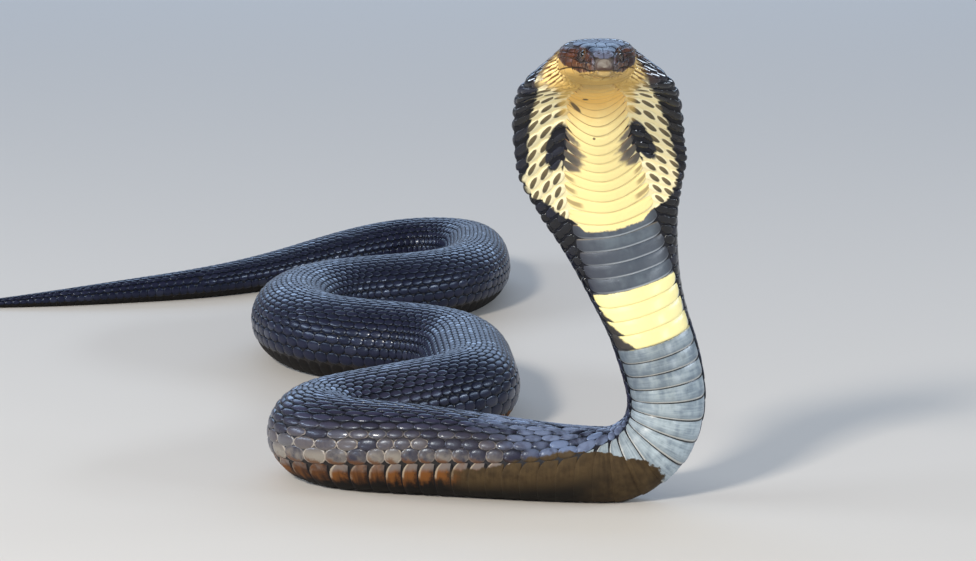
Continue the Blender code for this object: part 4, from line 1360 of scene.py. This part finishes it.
def shields():
    """All the head's shields as one mesh of closed plates."""
    points, faces, fields, uvs, start = [], [], {"place": [], "marks": [], "detail": []}, [], 0
    random = np.random.default_rng(5)
    for name, shape, lay, side in shield_list():
        flat, triangles, inside, rim = shield_flat(shape)
        p, q = flat.T
        v, phi = lay(p, q)
        phi = phi if side == 0 else side * phi
        rim_height = SHIELD_RIM if lay in (from_side, from_front) else CROWN_RIM
        height = rim_height + (SHIELD_TOP - rim_height) * (1 - np.exp(-inside / SHIELD_EDGE))
        if "nasal" in name:
            away = np.hypot(p - NOSTRIL_AT[0], q - NOSTRIL_AT[1])
            height = height - NOSTRIL_DEPTH * np.exp(-((away / NOSTRIL_SIZE) ** 2))
            height = height + 0.15 * np.exp(-(((away - NOSTRIL_RIM_AT) / 0.4) ** 2))
        count = len(flat)
        after = np.roll(rim, -1)
        walls = [np.stack([rim, after + count, after], axis=1)]
        walls.append(np.stack([rim, rim + count, after + count], axis=1))
        both = np.vstack([triangles, triangles[:, ::-1] + count, *walls])
        whole = np.vstack([coat(v, phi, height * MM), coat(v, phi, SHIELD_BASE * MM)])
        a, b, c = (whole[both[:, k]] - whole.mean(0) for k in range(3))
        if (np.cross(a, b) * c).sum() < 0:
            both = both[:, ::-1]
        across, up = head_section(np.minimum(-v, HEAD_LENGTH), np.pi - phi)
        kind, lot = np.full(count, kind_of(name)), np.full(count, random.random())
        field = {
            "place": places(v, phi),
            "marks": np.stack([-v / MM, np.abs(across) / MM, up / MM], axis=-1),
            "detail": np.stack([np.clip(inside / 0.8, 0, 1), kind, lot], axis=-1),
        }
        root = unwrap(v.mean(), phi[np.argmin(inside)])
        uv = root + PATCH / 2 * (flat - flat.mean(0)) / max(np.ptp(flat, axis=0))
        points.append(whole)
        faces.append(both + start)
        for key in fields:
            fields[key] += [field[key], field[key]]
        uvs.append(np.vstack([uv, uv])[both.ravel()])
        start += 2 * count
    fields = {key: np.vstack(values) for key, values in fields.items()}
    return np.vstack(points), [np.vstack(faces)], fields, np.vstack(uvs)


def shield_material():
    made, shader, s = new_material("head_shields", Roughness=0.3, Specular_IOR_Level=0.2,
                                   Coat_Roughness=0.2, Specular_Tint=(0.66, 0.80, 1.0, 1))
    c = Coat(s)
    # On these plates the field called marks holds millimetres from the nape, across and up.
    along, across, height = c.pale, c.spot, c.band

    def away(at):
        return ((along - at[0]) ** 2.0 + (height - at[1]) ** 2.0) ** 0.5

    kinds = ((c.across - kind).size().step(0.5, 0.4) for kind in (1.0, 2.0, 3.0, 4.0, 5.0))
    upper_lip, lower_lip, rostral, mental, under = kinds
    on_crown = c.facing.step(-0.60, -0.86)
    # Painted reflection: the crown is near-black with a painted blue sheen, standing in for the sky reflected
    # on its top.
    crown = s.colour(0.006, 0.011, 0.028)
    crown = crown.blend((c.broad + c.random - 0.3).step(0.0, 0.8), (0.018, 0.032, 0.080))
    rust = s.colour(0.088, 0.025, 0.006)
    rust = rust.blend((c.middling + c.random * 0.5).step(0.0, 0.6), (0.024, 0.009, 0.004))
    colour = rust.blend(on_crown, crown)
    # Painted reflection: the front of the snout is painted lavender for the sky reflected in it.
    front = along.step(36.5, 41.5) * across.step(5.2, 3.4)
    colour = colour.blend(front * 0.8, (0.155, 0.165, 0.235))
    # Painted reflection: a silver patch on the rostral, over its own brown, for the sky reflected in it.
    rostral_reflection = (across * across + (height - 1.2) * (height - 1.2) + c.middling * 4.0).step(9.0, 3.5)
    rostral_reflection = rostral_reflection * (c.fine + c.middling).step(-0.6, 0.2)
    colour = colour.blend(rostral, s.colour(0.075, 0.045, 0.035).blend(rostral_reflection, (0.250, 0.220, 0.185)))
    eye = away((31.6, 4.0)).step(4.6, 2.8) * c.facing.step(-0.97, -0.85)
    colour = colour.blend(eye * 0.7, (0.012, 0.008, 0.007))
    edge = s.maths("MAXIMUM", 0.7 - (along - 15.0) * 0.25, (along - 31.0) * 0.07 - 2.9)
    fringe = s.noise(s.joined(along * 0.9, 0.0, 0.0), 1.0) * 2.2 + c.middling * 0.8
    brown = s.colour(0.100, 0.034, 0.010)
    brown = brown.blend((c.middling + c.random * 0.5).step(0.0, 0.5), (0.030, 0.012, 0.007))
    glint = s.noise(s.joined(along * 1.8, height * 0.25, 3.0), 1.0).step(0.04, 0.16) * along.step(24.0, 30.0)
    brown = brown.blend(glint * 0.75, (0.40, 0.25, 0.14))
    yellow = (height - edge + fringe).step(0.30, -0.15) * (upper_lip + lower_lip)
    # Painted shade: darker lines across the yellow lips and chin shields for the creases in the skin.
    crease_shade = c.crease_shade()
    lips = brown.blend(yellow, s.colour(0.55, 0.34, 0.09).blend(crease_shade * 0.6, (0.34, 0.19, 0.05)))
    colour = colour.blend(upper_lip + lower_lip, lips)
    colour = colour.blend(mental, (0.50, 0.35, 0.14))
    colour = colour.blend(under, s.colour(0.52, 0.34, 0.10).blend(crease_shade * 0.75, (0.30, 0.17, 0.05)))
    nostril = away(NOSTRIL_AT).step(0.95, 0.55) * across.step(2.0, 3.0)
    colour = colour.blend(nostril, (0.002, 0.002, 0.002))
    # Painted reflection: the shields round the rostral are lightened to a silvery brown, spreading the
    # rostral's painted reflection.
    beside = along.step(43.0, 45.0) * (1 - rostral) * across.step(1.5, 3.0)
    colour = colour.blend(beside * 0.7, (0.130, 0.105, 0.100))
    seam = s.colour(0.010, 0.007, 0.006).blend(yellow + under + mental, (0.20, 0.11, 0.035))
    colour = colour.blend(c.along.step(0.35, 0.0) * (0.55 - on_crown * 0.30 - rostral * 0.35), seam)
    feed(s, shader, Base_Color=colour, Roughness=c.fine * 0.2 + 0.32 + rostral * 0.15,
         Coat_Weight=(c.middling * 0.3 + 0.02 + on_crown * 0.06) * (1 - rostral))
    bump(s, shader, c.fine, 0.00006)
    return made


head_shields = solid("head_shields", *shields(), shield_material())
slots_of(head_shields)

# The small scales under the chin, between the chin shields and the first belly plates. They are
# low soft domes in staggered rows, of the same yellow-olive as the chin.
GULAR_STEP = 1.9 * MM
GULAR_ROW = 1.7 * MM
GULAR_FROM, GULAR_TO = -0.0245, -0.0105
GULAR_TURN = 54  # how far round from the midline they reach, in degrees


def gular_places():
    """(v, share round) of each small scale."""
    found = []
    for number, v in enumerate(np.arange(GULAR_FROM, GULAR_TO, GULAR_STEP)):
        half = float(girth.half(v))
        for reach in np.arange(number % 2, 40, 2) * GULAR_ROW / 2:
            if abs(float(girth.turn(v, reach / half))) < np.radians(GULAR_TURN):
                found += [(v, reach / half), (v, -reach / half)] if reach > 0 else [(v, 0.0)]
    return np.array(found)


def gular_material():
    made, shader, s = new_material("chin_scales", Roughness=0.42, Specular_IOR_Level=0.45)
    c = Coat(s)
    rims = (c.along * c.along + c.across * c.across).step(0.45, 1.0)
    # Painted shade: darker lines across the chin scales for the creases in the skin.
    colour = s.colour(0.50, 0.31, 0.08).blend(rims * 0.4 + c.crease_shade() * 0.5, (0.24, 0.125, 0.03))
    feed(s, shader, Base_Color=colour)
    return made


gular_v, gular_share = gular_places().T
half_long, half_wide = (np.full(len(gular_v), size) for size in (GULAR_STEP * 1.1, GULAR_ROW * 0.92))
gular_made = domes(gular_v, gular_share, half_long, half_wide, raised=0.12 * MM, seed=33)
slots_of(solid("chin_scales", *gular_made, gular_material()))

# The eyes. Each is a glassy ball under a clear fixed scale, with a round black pupil in a dark
# bronze iris, held by a thin ring of small scales in place of lids.
EYE_RADIUS = 3.1 * MM
EYE_FACES = (0.28, 0.92, 0.24)
LID_AT = 2.1 * MM
LID_RADIUS = 2.62 * MM
LID_THICKNESS = 0.46 * MM
LID_SCALES = 15
LID_SIDES = 12
BALL_SIDES = 48
BALL_RINGS = 31
EYE_UV_TURN = 1.9


def eye_frame(side):
    """The middle of one eye, the way out of it, and two directions across it."""
    forward, across, up = head_line.forward[-1], head_line.side[-1], head_line.up[-1]
    out = unit(side * across * EYE_FACES[1] + forward * EYE_FACES[0] + up * EYE_FACES[2])
    first = unit(np.cross(out, up))
    centre = head_line.place(EYE_AT[0], side * EYE_AT[1], EYE_AT[2]) + SHIFT
    return centre, out, first, np.cross(out, first)


def eye_fields(side, value, corners):
    """One value of each point as the detail field, and one place on the unwrap for all corners."""
    uv = unwrap(-EYE_AT[0], side * EYE_UV_TURN) + np.zeros((corners, 2))
    return {"detail": np.stack([value, value, value], axis=-1)}, uv


def eyeball(side):
    """A fine ball with its pole facing out, and how far each point faces out."""
    centre, out, first, second = eye_frame(side)
    turn = np.linspace(0, 2 * np.pi, BALL_SIDES, endpoint=False)
    dip = np.linspace(0, np.pi, BALL_RINGS + 2)[1:-1]
    ring = first * np.cos(turn)[:, None] + second * np.sin(turn)[:, None]
    grid = out * np.cos(dip)[:, None, None] + ring[None] * np.sin(dip)[:, None, None]
    points = centre + EYE_RADIUS * np.vstack([grid.reshape(-1, 3), [out], [-out]])
    faces = outward_faces(points, closed_rings(BALL_RINGS, BALL_SIDES), lambda corners: centre)
    facing = np.concatenate([np.repeat(np.cos(dip), BALL_SIDES), [1, -1]])
    return points, faces, *eye_fields(side, facing, sum(g.size for g in faces))


def eye_material():
    made, shader, s = new_material("eye", Roughness=0.12, Specular_IOR_Level=0.3, Coat_Weight=0.2,
                                   Coat_Roughness=0.02)
    facing = s.field("detail").part(0)
    iris = s.colour(0.022, 0.011, 0.006).blend(facing.step(0.62, 0.80), (0.085, 0.042, 0.016))
    feed(s, shader, Base_Color=iris.blend(facing.step(0.845, 0.860), (0.002, 0.002, 0.002)))
    return made


def lid(side):
    """The ring of small scales round one eye, as one closed beaded ring."""
    centre, out, first, second = eye_frame(side)
    turn = np.linspace(0, 2 * np.pi, 8 * LID_SCALES, endpoint=False)
    tube = np.linspace(0, 2 * np.pi, LID_SIDES, endpoint=False)
    bead = 0.80 + 0.20 * np.abs(np.sin(turn * LID_SCALES / 2))
    spoke = first * np.cos(turn)[:, None] + second * np.sin(turn)[:, None]
    round_it = spoke[:, None] * np.cos(tube)[None, :, None] + out * np.sin(tube)[None, :, None]
    middles = (centre + out * LID_AT + spoke * LID_RADIUS)[:, None]
    points = middles + round_it * (LID_THICKNESS * bead)[:, None, None]
    index = np.arange(len(turn) * LID_SIDES).reshape(-1, LID_SIDES)
    after = np.roll(index, -1, axis=0)
    quads = np.stack([index, after, np.roll(after, -1, axis=1), np.roll(index, -1, axis=1)], axis=-1)
    quads = quads.reshape(-1, 4)
    flat, middles = (np.broadcast_to(a, points.shape).reshape(-1, 3) for a in (points, middles))
    faces = outward_faces(flat, [quads], lambda corners: middles[corners[:, 0]])
    return flat, faces, *eye_fields(side, np.repeat(bead, LID_SIDES), quads.size)


def lid_material():
    made, shader, s = new_material("lids", Roughness=0.35, Specular_IOR_Level=0.5)
    bead = s.field("detail").part(0).step(0.84, 0.96)
    feed(s, shader, Base_Color=s.colour(0.006, 0.004, 0.004).blend(bead, (0.055, 0.026, 0.014)))
    return made


eye_cover, lid_cover = eye_material(), lid_material()
for side, name in ((1, "left"), (-1, "right")):
    ball = solid(f"eyeball_{name}", *eyeball(side), eye_cover)
    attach(ball, "root")
    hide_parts(f"eye_{name}")
    slots_of(solid(f"lids_{name}", *lid(side), lid_cover))

# The floor, the lights and the camera. A camera low in front with a long lens looks at the model
# on a plain pale floor, under a broad cool light from above behind and a warm one from the front.
# Narrow lights at both sides and small low ones in front make the glints on the wet scales.
CAMERA_AT = (-0.0805, -1.8475, 0.4435)
CAMERA_DOWN = 10.77
LENS = 154.18
FLOOR_SIZE = 14.0
WORLD_COLOUR = (0.80, 0.83, 0.88, 1)
WORLD_STRENGTH = 0.28


def area_light(name, place, aim, size, power, colour):
    lamp = bpy.data.lights.new(name, "AREA")
    lamp.shape = "RECTANGLE"
    lamp.size, lamp.size_y = size
    lamp.energy = power
    lamp.color = colour
    thing = bpy.data.objects.new(name, lamp)
    thing.location = place
    thing.rotation_euler = (Vector(aim) - Vector(place)).to_track_quat("-Z", "Y").to_euler()
    bpy.context.scene.collection.objects.link(thing)


floor_mesh = bpy.data.meshes.new("floor")
floor_corners = [(x * FLOOR_SIZE / 2, y * FLOOR_SIZE / 2, 0) for x, y in ((-1, -1), (1, -1), (1, 1), (-1, 1))]
floor_mesh.from_pydata(floor_corners, [], [(0, 1, 2, 3)])
floor_mesh.materials.append(new_material("floor", Roughness=0.8, Base_Color=(0.66, 0.62, 0.57, 1),
                                         Specular_IOR_Level=0.2)[0])
floor = bpy.data.objects.new("floor", floor_mesh)
bpy.context.scene.collection.objects.link(floor)

world = bpy.data.worlds.new("studio")
world.use_nodes = True
world.node_tree.nodes["Background"].inputs["Color"].default_value = WORLD_COLOUR
world.node_tree.nodes["Background"].inputs["Strength"].default_value = WORLD_STRENGTH
bpy.context.scene.view_settings.view_transform = "Standard"
bpy.context.scene.world = world
area_light("sky", (0.10, 3.00, 1.55), (0.05, 0.00, 0.10), (4.50, 1.30), 58, (0.48, 0.68, 1.0))
area_light("key", (-0.90, -1.90, 1.35), (0.10, -0.20, 0.12), (0.35, 0.35), 43, (1.0, 0.94, 0.85))
for side in (-1, 1):
    high, low = (0.10 + side * 1.50, -0.30, 0.62), (0.10 + side * 1.05, -1.55, 0.10)
    area_light("glint", high, (0.10, -0.10, 0.30), (1.10, 0.14), 13, (0.75, 0.86, 1.0))
    area_light("low_glint", low, (0.10, -0.12, 0.28), (0.16, 0.16), 4.5, (0.85, 0.92, 1.0))

lens = bpy.data.cameras.new("camera")
lens.lens = LENS
lens.sensor_width = 36.0
lens.clip_start, lens.clip_end = 0.05, 50.0
camera = bpy.data.objects.new("camera", lens)
camera.location = Vector(CAMERA_AT) + Vector(SHIFT)
camera.rotation_euler = (np.radians(90 - CAMERA_DOWN), 0, 0)
bpy.context.scene.collection.objects.link(camera)
bpy.context.scene.camera = camera
